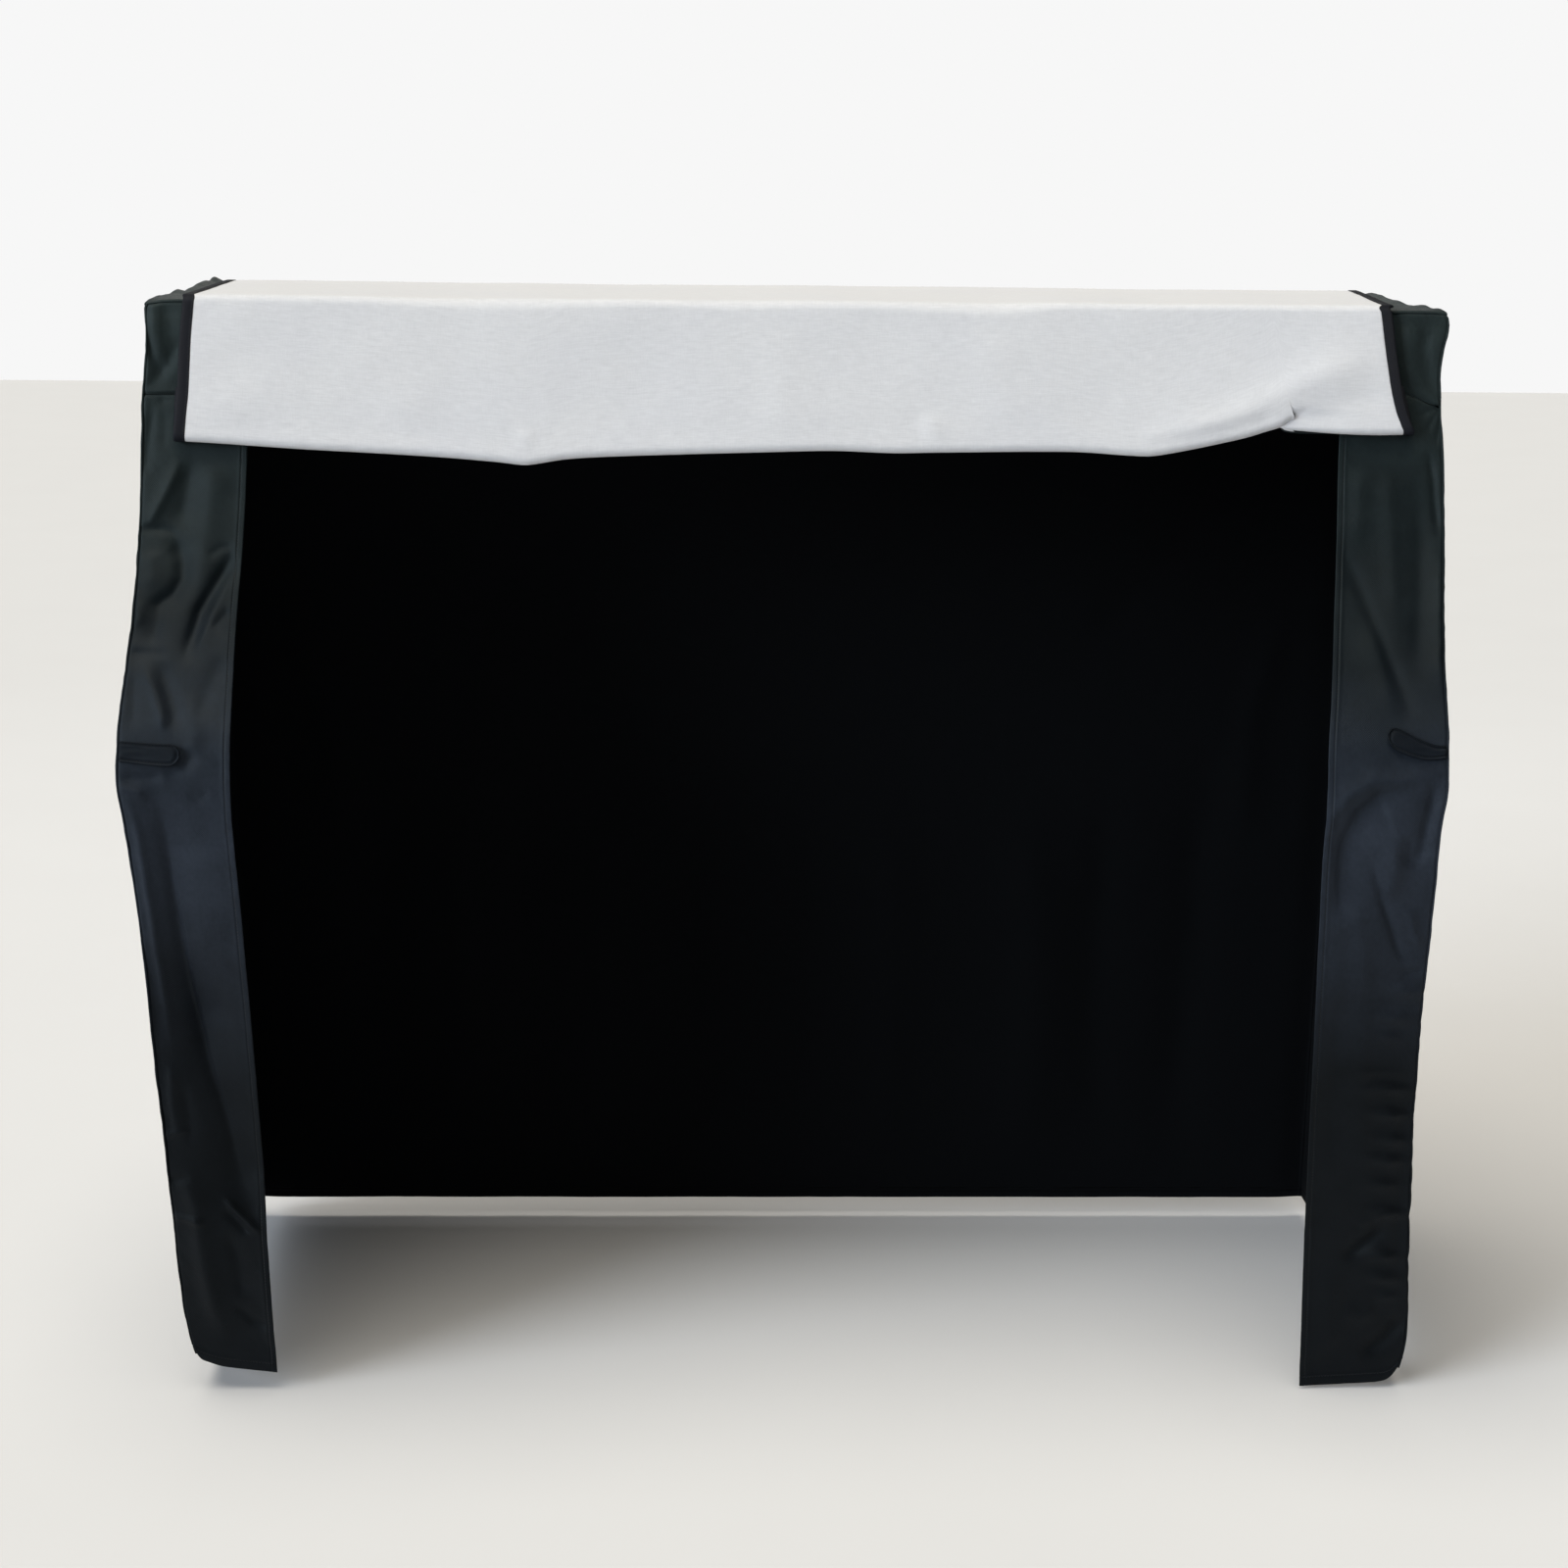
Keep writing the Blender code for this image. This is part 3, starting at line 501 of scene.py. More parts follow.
# Slight unevenness, in layers: how high, how wide its humps, and the seed of its draws.
UNEVEN = {
    "left_seam": ((0.0006, 0.024, 11),),
    "right_seam": ((0.0006, 0.024, 12),),
    "left_strip": ((0.00035, 0.022, 21), (0.00056, 0.060, 31)),
    "right_strip": ((0.00035, 0.022, 22), (0.00056, 0.060, 32)),
    "top": ((0.0008, 0.070, 41),),
    "left_side": ((0.00049, 0.030, 51), (0.00084, 0.090, 56)),
    "right_side": ((0.00049, 0.030, 52), (0.00084, 0.090, 57)),
    "back": ((0.00049, 0.034, 61), (0.00091, 0.110, 62)),
    "flap": ((0.0007, 0.050, 71), (0.0009, 0.140, 72)),
    "binding": ((0.0005, 0.040, 81),),
    "tab": ((0.0007, 0.012, 91),),
}

# Names of the finishes.
BLACK, TAB_BLACK, REVERSE = "black satin cloth", "black satin tab", "matt black reverse"
PALE, TAPE = "pale linen lining", "blue-black twill tape"
THREAD, TAB_THREAD = "dark sewing thread", "black sewing thread"
PALE_THREAD = "pale sewing thread"


# ------------------------------------------------------------------ curves and folds
def ease(value):
    """0 to 1 with a soft start and stop."""
    value = np.clip(value, 0.0, 1.0)
    return value * value * (3.0 - 2.0 * value)


def after(value, start, length):
    """0 to 1, softly, over a length after the start."""
    return ease((value - start) / length)


def hump(off, width):
    """A soft hump, 1 high at its middle."""
    return np.exp(-(off / width) ** 2)


def sway(x, shift):
    """A gentle unevenness between about -1 and 1."""
    return (0.5 * np.sin(9.0 * x + 3.0 * shift + 0.6)
            + 0.3 * np.sin(21.0 * x - 5.0 * shift + 2.1)
            + 0.2 * np.sin(37.0 * x + 1.2))


def unevenness(u, v, size, seed):
    """Smooth random rise between -1 and 1, with humps about as wide as size."""
    count = 96
    lattice = np.random.default_rng(seed).uniform(-1.0, 1.0, (count + 1, count + 1))
    a, b = np.broadcast_arrays(u / size + count / 3.0, v / size + count / 3.0)
    i, j = np.floor(a).astype(int), np.floor(b).astype(int)
    s, t = ease(a - i), ease(b - j)
    i, j = i % count, j % count
    near = lattice[i, j] * (1.0 - s) + lattice[i + 1, j] * s
    far = lattice[i, j + 1] * (1.0 - s) + lattice[i + 1, j + 1] * s
    return near * (1.0 - t) + far * t


def uneven(part, u, v):
    """The slight unevenness of a part of the cover."""
    return sum(height * unevenness(u, v, size, seed) for height, size, seed in UNEVEN[part])


def along(rows, key, column, at):
    """A column of a table at places between its rows, as a smooth curve."""
    knots = np.array([row[key] for row in rows])
    values = np.array([row[column] for row in rows])
    above, below = np.r_[1:len(knots), len(knots) - 1], np.r_[0, 0:len(knots) - 1]
    slopes = (values[above] - values[below]) / (knots[above] - knots[below])
    at = np.clip(at, knots[0], knots[-1])
    low = np.clip(np.searchsorted(knots, at, side="right") - 1, 0, len(knots) - 2)
    step = knots[low + 1] - knots[low]
    part = (at - knots[low]) / step
    return (values[low] * (1 + 2 * part) * (1 - part) ** 2
            + values[low + 1] * part ** 2 * (3 - 2 * part)
            + slopes[low] * step * part * (1 - part) ** 2
            + slopes[low + 1] * step * part ** 2 * (part - 1))


def creased(folds, inward, down):
    """How far a cloth rises at each point, from all the creases near it."""
    inward, down = np.broadcast_arrays(inward, down)
    rise = np.zeros(inward.shape)
    for crease in folds:
        path = crease["path"]
        steps = np.diff(path, axis=0)
        lengths = np.hypot(steps[:, 0], steps[:, 1])
        nearest = np.full(rise.shape, np.inf)
        side, place = np.zeros(rise.shape), np.zeros(rise.shape)
        done = 0.0
        for start, step, length in zip(path, steps, lengths):
            over, under = inward - start[0], down - start[1]
            part = np.clip((over * step[0] + under * step[1]) / length ** 2, 0.0, 1.0)
            gap = np.hypot(over - part * step[0], under - part * step[1])
            closer = gap < nearest
            nearest = np.where(closer, gap, nearest)
            side = np.where(closer, over * step[1] - under * step[0], side)
            place = np.where(closer, (done + part * length) / lengths.sum(), place)
            done += length
        width = np.where(side > 0.0, crease["far"], crease["near"])
        fade = ease(place / FADE_PART) * ease((1.0 - place) / FADE_PART)
        rise += crease["rise"] * fade * (1.0 + (nearest / width) ** 2) ** -1.5
    return rise * sizes().crease_depth


def places(length, step, first=SEAM_MARKS, last=SEAM_MARKS):
    """Grid lines along a cloth, 0 to 1: even, but where its edges are sewn."""
    begin, end = first[-1], length - last[-1]
    count = max(1, round((end - begin) / step))
    between = np.linspace(begin, end, count + 1)[1:-1]
    return np.array([*first, *between, *(length - mark for mark in reversed(last))]) / length


def hem_marks(width):
    """Grid lines across a hem of this width, from its edge inwards."""
    sewn = width - STITCH_IN
    return (0.0, 0.0004, 0.0010, 0.0020, 0.5 * sewn, sewn - 0.0014, sewn - 0.0007, sewn,
            sewn + 0.0007, sewn + 0.0014, width + 0.0004, width + HEM_SHOULDER)


# ------------------------------------------------------------------ shape of the cover
def seam_x(side, down):
    """Place of a front outer seam, left or right of the middle."""
    seam = along(SECTIONS, "down", side + "_seam", down)
    out = ease(down / 0.030) * uneven(side + "_seam", down, 0.0)
    if side == "right":
        for pull in SEAM_PULLS:
            off = down - pull["down"] - PULL_DRAW_DOWN
            out = out - PULL_DRAW * pull["rise"] * hump(off, PULL_DRAW_REACH)
    return seam + OUTWARD[side] * out


def front_y(down):
    """Front face of the cover at a level."""
    return FRONT - along(SECTIONS, "down", "reach", down)


def wall_x(side, forward, down):
    """Outer face of a side panel; forward runs from 0 at the back to 1 at the front seam."""
    lean = SHOULDER * (1.0 - ease(down / SHOULDER_HEIGHT)) + BACK_TAPER * ease(down / BACK_HEM)
    back = OUTWARD[side] * (BACK_HALF_WIDTH - lean)
    return back + (seam_x(side, down) - back) * ease(forward)


def rim_lift(x, y):
    """How far the top stands up, or slumps, near its corners."""
    return sum(corner["lift"] * hump(np.hypot(x - corner["x"], y - corner["y"]),
                                     corner["radius"]) for corner in RIM_CORNERS)


def rim_lumps(x, y):
    """The uneven raised seam at the ends of the top."""
    return sum(lump["lift"] * hump(x - lump["x"], LUMP_WIDTH)
               * hump(y - lump["y"], lump["length"]) for lump in RIM_LUMPS)


def top_point(across, forward):
    """Points of the top's underside, from its left and back edges."""
    left = wall_x("left", forward, 0.0)
    right = wall_x("right", forward, 0.0)
    x = left + (right - left) * across
    y = BACK + (FRONT - BACK) * forward + 0.0 * x
    return x, y, rim_lift(x, y)


def wall_start(across, forward):
    """How far down a wall starts, just under the rim of the top."""
    x, y, rim = top_point(across, forward)
    return SEAM_GAP + RIM_SLACK * np.abs(rim) - rim - LUMP_SHARE * rim_lumps(x, y)


def yoke_foot(x):
    """How far down the seam under the yoke lies."""
    return along(YOKE_SEAM, "x", "down", x)


def strip_span(side, inward):
    """Where a strip starts and ends, at a distance in from its outer seam."""
    start = yoke_foot(seam_x(side, YOKE_FOOT) - OUTWARD[side] * inward) + STRIP_GAP
    return start, along(STRIP_FEET, "inward", side, inward)


def front_rise(side, inward, down):
    """Creases of a strip or yoke end; it lies still under the flap and the tab."""
    hidden = after(down, FLAP_COVERS[0], 0.020) * (1.0 - after(down, FLAP_COVERS[1], 0.030))
    under_flap = hidden * after(inward, 0.020, 0.020)
    beside_tab = np.exp(-((down - TAB_DOWN[side]) / TAB_STILL) ** 4)
    under_tab = beside_tab * (1.0 - after(inward, TAB_LENGTH, 0.024))
    rise = creased(STRIP_CREASES[side], inward, down)
    if side == "right":
        for pull in SEAM_PULLS:
            within = inward - pull["inward"]
            off = down - pull["down"] - PULL_SLANT * within
            swell = hump(off, np.where(off < 0.0, PULL_OVER, PULL_UNDER))
            rise = rise + pull["rise"] * hump(within, pull["length"]) * swell
    rise = rise * after(inward, -0.004, 0.012) + uneven(side + "_strip", inward, down)
    return rise * (1.0 - under_flap) * (1.0 - TAB_PRESS * under_tab)


def front_point(side, inward, down):
    """Points on the front face of a strip or yoke end."""
    x = seam_x(side, down) - OUTWARD[side] * inward
    return stacked(x, front_y(down) - front_rise(side, inward, down), -down)


# ------------------------------------------------------------------ laying a cloth
def sizes():
    """The sizes that the sidebar shows."""
    return bpy.context.scene.piano_cover_sizes


def stacked(x, y, z):
    """Points from their three coordinates."""
    return np.stack(np.broadcast_arrays(x, y, z), axis=-1).astype(float)


def outward(points):
    """Unit directions out of a grid of points, seen with its rows running down."""
    normal = np.cross(np.gradient(points, axis=0), np.gradient(points, axis=1))
    return normal / np.maximum(np.linalg.norm(normal, axis=-1, keepdims=True), 1e-12)


def from_edges(points):
    """How far each point of a grid lies from the left, right, top and foot of its cloth."""
    across = np.linalg.norm(np.diff(points, axis=1), axis=-1)
    down = np.linalg.norm(np.diff(points, axis=0), axis=-1)
    left = np.pad(np.cumsum(across, axis=1), ((0, 0), (1, 0)))
    top = np.pad(np.cumsum(down, axis=0), ((1, 0), (0, 0)))
    return dict(zip(EDGES, (left, left[:, -1:] - left, top, top[-1:] - top)))


def sewn(points, edges, seed):
    """How a cloth's face is lifted by its hems, and drawn in and puckered by its seams."""
    lift = np.zeros(points.shape[:2])
    run = points.sum(axis=-1)
    for edge, gap in from_edges(points).items():
        kind = edges.get(edge)
        pucker = PUCKER * unevenness(run, gap, PUCKER_SIZE, seed)
        if kind == "seam":
            lift -= SEAM_ROLL * hump(gap, SEAM_ROLL_WIDTH)
            lift += pucker * np.exp(-gap / PUCKER_REACH) * ease(gap / 0.003)
        elif kind:
            stitches = kind - STITCH_IN
            lift += HEM_RISE * (1.0 - after(gap, kind, HEM_SHOULDER))
            lift -= DENT * hump(gap - stitches, DENT_WIDTH)
            lift += 0.6 * pucker * hump(gap - stitches, PUCKER_REACH)
    return lift


def rounded_rim(points, edges, thickness):
    """How much a cloth thins towards each free or hemmed edge, so that it ends round."""
    thin = np.zeros(points.shape[:2])
    for edge, gap in from_edges(points).items():
        if edges.get(edge) != "seam":
            part = np.clip(gap / (0.5 * thickness), 0.0, 1.0)
            thin = np.maximum(thin, 0.42 * thickness * (1.0 - np.sqrt(part * (2.0 - part))))
    return thin


def shell_faces(rows, columns, facing):
    """Faces of a closed thin cloth: its outer grid, its inner grid and the rim between."""
    index = np.arange(rows * columns).reshape(rows, columns)
    inner = index + rows * columns

    def quads(a, b, c, d):
        return np.stack([a.ravel(), b.ravel(), c.ravel(), d.ravel()], axis=1)

    faces = [
        quads(index[:-1, :-1], index[1:, :-1], index[1:, 1:], index[:-1, 1:]),
        quads(inner[:-1, :-1], inner[:-1, 1:], inner[1:, 1:], inner[1:, :-1]),
        quads(index[:-1, 0], inner[:-1, 0], inner[1:, 0], index[1:, 0]),
        quads(index[:-1, -1], index[1:, -1], inner[1:, -1], inner[:-1, -1]),
        quads(index[0, :-1], index[0, 1:], inner[0, 1:], inner[0, :-1]),
        quads(index[-1, :-1], inner[-1, :-1], inner[-1, 1:], index[-1, 1:]),
    ]
    return np.concatenate(faces)[:, ::facing].tolist()


def mesh_piece(name, vertices, faces, material, flat=None):
    """A mesh object from its points and faces, with places on the flat cloth as its map."""
    old = bpy.data.objects.get(name)
    if old:
        bpy.data.objects.remove(old, do_unlink=True)
    mesh = bpy.data.meshes.new(name)
    mesh.from_pydata(vertices.tolist(), [], faces)
    mesh.validate()
    if flat is not None:
        layer = mesh.uv_layers.new(name="cloth")
        corner = np.zeros(len(mesh.loops), dtype=np.int32)
        mesh.loops.foreach_get("vertex_index", corner)
        layer.uv.foreach_set("vector", flat[corner].astype(np.float32).ravel())
    mesh.materials.append(material)
    mesh.shade_smooth()
    piece = bpy.data.objects.new(name, mesh)
    bpy.context.scene.collection.objects.link(piece)
    return piece


def lay(name, points, thickness, finish, flat, edges, facing=1, seed=1):
    """One cloth: a grid of points for its outer face, sewn at its edges and given thickness.

    Returns the piece, and the points and outward directions of its finished face.
    """
    normal = outward(points) * facing
    face = points + normal * sewn(points, edges, seed)[..., None]
    normal = outward(face) * facing
    thin = rounded_rim(points, edges, thickness)[..., None]
    outer, inner = face - normal * thin, face - normal * (thickness - thin)
    rows, columns = points.shape[:2]
    vertices = np.concatenate([outer.reshape(-1, 3), inner.reshape(-1, 3)])
    flat = np.broadcast_to(flat, (rows, columns, 2)).reshape(-1, 2)
    piece = mesh_piece(name, vertices, shell_faces(rows, columns, facing), finish_of(finish),
                       np.concatenate([flat, flat]))
    if finish in (BLACK, TAB_BLACK):
        piece.data.materials.append(finish_of(REVERSE))
        count = (rows - 1) * (columns - 1)
        slots = np.zeros(len(piece.data.polygons), dtype=np.int32)
        slots[count:2 * count] = 1
        piece.data.polygons.foreach_set("material_index", slots)
    return piece, outer, normal


def sew(name, lines, finish):
    """Rows of single stitches along lines of points with their outward directions."""
    length, thread = sizes().stitch, 0.5 * sizes().thread
    pitch = length + sizes().stitch_gap
    ends = np.array([-0.5, -0.22, 0.22, 0.5]) * length
    proud = np.array([-0.9, 0.55, 0.55, -0.9]) * thread
    stout = np.array([0.6, 1.0, 1.0, 0.6]) * thread
    step = np.arange(STITCH_SIDES)
    turns = step * 2.0 * math.pi / STITCH_SIDES
    stitches = []
    for points, normals in lines:
        run = np.r_[0.0, np.cumsum(np.linalg.norm(np.diff(points, axis=0), axis=-1))]
        centres = np.arange(0.6 * pitch, run[-1] - 0.6 * pitch, pitch)
        at = centres[:, None] + ends[None, :]
        place = np.stack([np.interp(at, run, points[:, axis]) for axis in range(3)], -1)
        up = np.stack([np.interp(at, run, normals[:, axis]) for axis in range(3)], -1)
        heading = place[:, -1:] - place[:, :1]
        heading = heading / np.linalg.norm(heading, axis=-1, keepdims=True)
        up = up - heading * (up * heading).sum(-1, keepdims=True)
        up = up / np.linalg.norm(up, axis=-1, keepdims=True)
        side = np.cross(up, heading)
        centre = place + up * proud[None, :, None]
        ring = (centre[:, :, None] + stout[None, :, None, None]
                * (np.cos(turns)[:, None] * up[:, :, None]
                   + np.sin(turns)[:, None] * side[:, :, None]))
        stitches.append(ring)
    rings = np.concatenate(stitches)
    beside = (step + 1) % STITCH_SIDES
    base = np.concatenate([
        np.stack([step, step + STITCH_SIDES, beside + STITCH_SIDES, beside], axis=1)
        + ring * STITCH_SIDES for ring in range(len(ends) - 1)])
    shift = (np.arange(len(rings)) * len(ends) * STITCH_SIDES)[:, None, None]
    faces = (base[None] + shift).reshape(-1, 4).tolist()
    faces += (step[None] + shift[:, 0]).tolist()
    faces += (((len(ends) - 1) * STITCH_SIDES + step[::-1])[None] + shift[:, 0]).tolist()
    return mesh_piece(name, rings.reshape(-1, 3), faces, finish_of(finish))


# ------------------------------------------------------------------ finishes
class Wire:
    """A value on its way through a material; arithmetic on it adds the nodes for it."""

    def __init__(self, finish, socket):
        self.finish = finish
        self.socket = socket

    def math(self, operation, *values):
        return self.finish.node("ShaderNodeMath", {"operation": operation},
                                dict(enumerate(values)))

    def __add__(self, other):
        return self.math("ADD", self, other)

    __radd__ = __add__

    def __sub__(self, other):
        return self.math("SUBTRACT", self, other)

    def __rsub__(self, other):
        return self.math("SUBTRACT", other, self)

    def __mul__(self, other):
        return self.math("MULTIPLY", self, other)

    __rmul__ = __mul__

    def sine(self):
        return self.math("SINE", self)

    def strays(self, amount):
        """How far a soft random value strays from its middle, times an amount."""
        return (self - 0.5) * amount


class Finish:
    """One cloth's material, and the nodes that vary it over the surface."""

    def __init__(self, name, **constants):
        old = bpy.data.materials.get(name)
        if old:
            bpy.data.materials.remove(old)
        self.material = bpy.data.materials.new(name)
        self.material.use_nodes = True
        self.tree = self.material.node_tree
        self.shader = self.tree.nodes["Principled BSDF"]
        for socket, value in constants.items():
            self.put(self.shader.inputs[socket.replace("_", " ")], value)

    def put(self, socket, value):
        """Links a wire to a socket, or sets the socket to a plain value or colour."""
        if isinstance(value, Wire):
            self.tree.links.new(value.socket, socket)
        elif socket.type == "RGBA":
            socket.default_value = (*value, 1.0)
        else:
            socket.default_value = value

    def node(self, kind, settings=None, inputs=None, output=0):
        """Adds a node: its settings first, then what goes into its sockets."""
        made = self.tree.nodes.new(kind)
        for name, value in (settings or {}).items():
            if name == "stops":
                ramp = made.color_ramp
                while len(ramp.elements) < len(value):
                    ramp.elements.new(1.0)
                for element, (place, colour) in zip(ramp.elements, value):
                    element.position = place
                    element.color = (*colour, 1.0)
            else:
                setattr(made, name, value)
        for socket, value in (inputs or {}).items():
            self.put(made.inputs[socket], value)
        return Wire(self, made.outputs[output])

    def flat(self):
        """Places on the flat cloth, in metres."""
        return self.node("ShaderNodeUVMap", {"uv_map": "cloth"})

    def place(self):
        """Places on the hanging cover, in metres."""
        return self.node("ShaderNodeTexCoord", output="Object")

    def parts(self, vector):
        """The three numbers of a vector."""
        split = self.node("ShaderNodeSeparateXYZ", {}, {0: vector})
        return [Wire(self, socket) for socket in split.socket.node.outputs]

    def scaled(self, vector, x, y, z=1.0):
        """A vector stretched by plain numbers."""
        return self.node("ShaderNodeVectorMath", {"operation": "MULTIPLY"},
                         {0: vector, 1: (x, y, z)})

    def noise(self, vector, scale, detail=2.0, rough=0.5):
        """Soft random values around 0.5."""
        return self.node("ShaderNodeTexNoise", {"noise_dimensions": "3D"},
                         {"Vector": vector, "Scale": scale, "Detail": detail,
                          "Roughness": rough})

    def blend(self, factor, first, second, way="MIX"):
        """Two colours mixed."""
        return self.node("ShaderNodeMix", {"data_type": "RGBA", "blend_type": way},
                         {0: factor, 6: first, 7: second}, output=2)

    def shaded(self, colour, tone):
        """A colour made lighter or darker by a tone around 1."""
        return self.blend(1.0, colour, tone, "MULTIPLY")

    def bump(self, height, distance):
        """The surface's slope, from heights of 0 to 1 that stand this far."""
        return self.node("ShaderNodeBump", {},
                         {"Height": height, "Distance": distance, "Strength": 1.0})

    def finish(self, colour, roughness=None, normal=None):
        """Puts the varied values on the shader and gives the material."""
        self.put(self.shader.inputs["Base Color"], colour)
        if roughness is not None:
            self.put(self.shader.inputs["Roughness"], roughness)
        if normal is not None:
            self.put(self.shader.inputs["Normal"], normal)
        return self.material


def colours():
    """The colours that the sidebar shows."""
    return bpy.context.scene.piano_cover_colours


def black_cloth(name, depth):
    """Close black cloth with a soft satin face, dotted by its weave, varied at random in tone,
    with painted light and shade by height.
    """
    cloth = Finish(name, Specular_IOR_Level=0.09 * depth, Specular_Tint=(0.74, 0.90, 1.0),
                   Sheen_Weight=0.02, Sheen_Roughness=0.45, Sheen_Tint=(0.80, 0.88, 1.0))
    place, flat = cloth.place(), cloth.flat()
    across, down, _ = cloth.parts(flat)
    turn = 2.0 * math.pi / sizes().weave
    stray = cloth.noise(flat, 90.0) * 5.0
    dots = (across * turn + stray).sine() * (down * turn + stray).sine()
    slub = cloth.noise(cloth.scaled(flat, 260.0, 1500.0), 1.0)
    mottle = cloth.noise(cloth.scaled(flat, 210.0, 150.0), 1.0, 3.0, 0.6)
    patch = cloth.noise(place, 38.0, 3.0, 0.55)
    cloud = cloth.noise(place, 5.0, 3.0)
    # Height on the cover, blurred at random, chooses the painted light and shade: painted light
    # over the top, painted shade above the keyboard where the cover leans out, painted light
    # below it, painted shade near the floor.
    height = cloth.parts(place)[2]
    level = cloth.node("ShaderNodeMapRange", {}, {
        "Value": height + cloud.strays(0.22), "From Min": -1.29, "From Max": 0.0})
    painted_light_colours = colours()
    painted_light_by_height = cloth.node("ShaderNodeValToRGB", {"stops": (
        (0.00, painted_light_colours.black_foot_painted_shade), (0.29, painted_light_colours.black_foot_painted_shade), (0.56, painted_light_colours.black_middle_painted_light),
        (0.72, painted_light_colours.black_shoulder_painted_shade), (1.00, painted_light_colours.black_top_painted_light))}, {0: level})
    shade = (0.90 + dots * 0.12 + slub.strays(0.25) + cloud.strays(0.30)
             + mottle.strays(0.60) + patch.strays(0.50))
    # The painted light and shade by height, varied by the weave and the random tone.
    colour = cloth.shaded(painted_light_by_height, shade * depth)
    rough = 0.42 + cloud.strays(0.08) + mottle.strays(0.16) + patch.strays(0.14)
    relief = cloth.bump(dots * 0.4 + slub * 0.7 + mottle * 0.9, 0.00030)
    return cloth.finish(colour, rough, relief)


def black_reverse(name):
    """The cloth's unfinished back: matt and darker."""
    cloth = Finish(name, Specular_IOR_Level=0.05)
    nap = cloth.noise(cloth.scaled(cloth.place(), 420.0, 420.0, 900.0), 1.0, 3.0)
    # It starts from the black cloth's colour near the floor, which is darkened there as painted
    # shade.
    colour = cloth.shaded(colours().black_foot_painted_shade, 0.45 + nap * 0.5)
    return cloth.finish(colour, 0.92, cloth.bump(nap, 0.0002))


def pale_lining(name):
    """Matt grey-white lining with the slubs of a linen weave."""
    cloth = Finish(name, Specular_IOR_Level=0.20, Sheen_Weight=0.10, Sheen_Roughness=0.6)
    flat = cloth.flat()
    weft = cloth.noise(cloth.scaled(flat, 60.0, 640.0), 1.0, 3.0, 0.6)
    warp = cloth.noise(cloth.scaled(flat, 640.0, 80.0), 1.0, 3.0, 0.6)
    mottle = cloth.noise(cloth.scaled(flat, 55.0, 240.0), 1.0, 3.0, 0.65)
    cloud = cloth.noise(flat, 6.0, 3.0)
    threads = weft * 0.6 + warp * 0.4
    tone = threads.strays(0.85) + mottle.strays(0.50) + 0.55
    colour = cloth.blend(tone, colours().lining_dark, colours().lining)
    colour = cloth.blend((cloud - 0.45) * 0.5, colour, colours().lining_cool)
    relief = cloth.bump(threads, 0.00022)
    return cloth.finish(colour, 0.86 + warp.strays(0.12), relief)


def dark_tape(name):
    """Blue-black tape with the slanting ribs of a twill."""
    tape = Finish(name, Specular_IOR_Level=0.12)
    flat = tape.flat()
    across, down, _ = tape.parts(flat)
    rib = ((across + down) * (2.0 * math.pi / RIB)).sine()
    fuzz = tape.noise(flat, 700.0, 3.0)
    tone = 0.84 + rib * 0.14 + fuzz.strays(0.5)
    colour = tape.shaded(colours().tape, tone)
    return tape.finish(colour, 0.58 + fuzz.strays(0.2), tape.bump(rib * 0.5 + fuzz, 0.0002))


def sewing_thread(name, colour, depth, vary, roughness, gloss):
    """Sewing thread, its colour varied by its fuzz."""
    thread = Finish(name, Specular_IOR_Level=gloss)
    fuzz = thread.noise(thread.place(), 900.0)
    tone = (0.7 + fuzz * vary) * depth
    return thread.finish(thread.shaded(getattr(colours(), colour), tone),
                         roughness + fuzz.strays(0.2))


FINISHES = {
    BLACK: (black_cloth, 1.0),
    TAB_BLACK: (black_cloth, 0.55),
    REVERSE: (black_reverse,),
    PALE: (pale_lining,),
    TAPE: (dark_tape,),
    THREAD: (sewing_thread, "thread", 1.0, 0.6, 0.50, 0.20),
    TAB_THREAD: (sewing_thread, "thread", 0.20, 0.6, 0.50, 0.20),
    PALE_THREAD: (sewing_thread, "lining", 1.0, 0.5, 0.70, 0.30),
}


def finish_of(name):
    """The material of this name, made when a piece first asks for it."""
    make, *choices = FINISHES[name]
    return bpy.data.materials.get(name) or make(name, *choices)


# ------------------------------------------------------------------ pieces of the body
def settle(piece, node, slot, stitches=(), **cut):
    """Rides a cloth and its stitches on the cover in place of its node, which it hides."""
    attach(piece, "root")
    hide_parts(node)
    for row in stitches:
        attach(row, "root")


def foot_stitches(name, face, normal):
    """The row of stitches along the hem at a panel's foot."""
    row = -1 - HEM_STITCHES
    return sew(name, [(face[row, 3:-3], normal[row, 3:-3])], THREAD)


def lay_top():
    """The top, which lies like a lid on the upper edges of the walls."""
    across = places(TOP_WIDTH, TOP_STEP)[None, :]
    forward = places(BACK - FRONT, TOP_STEP)[:, None]
    x, y, z = top_point(across, forward)
    inside = np.minimum(TOP_WIDTH * np.minimum(across, 1 - across),
                        (BACK - FRONT) * np.minimum(forward, 1 - forward))
    slack = uneven("top", x, y) * ease(inside / 0.040)
    points = stacked(x, y, z + CLOTH + rim_lumps(x, y) + slack)
    piece, _, _ = lay("top_cloth", points, CLOTH, BLACK, points[..., :2], ALL_SEAMS)
    settle(piece, "top_panel", "black_cloth", flat=(1.504, 0.358), held="laid",
           rests_on=["side_left", "side_right", "back_panel", "yoke"])


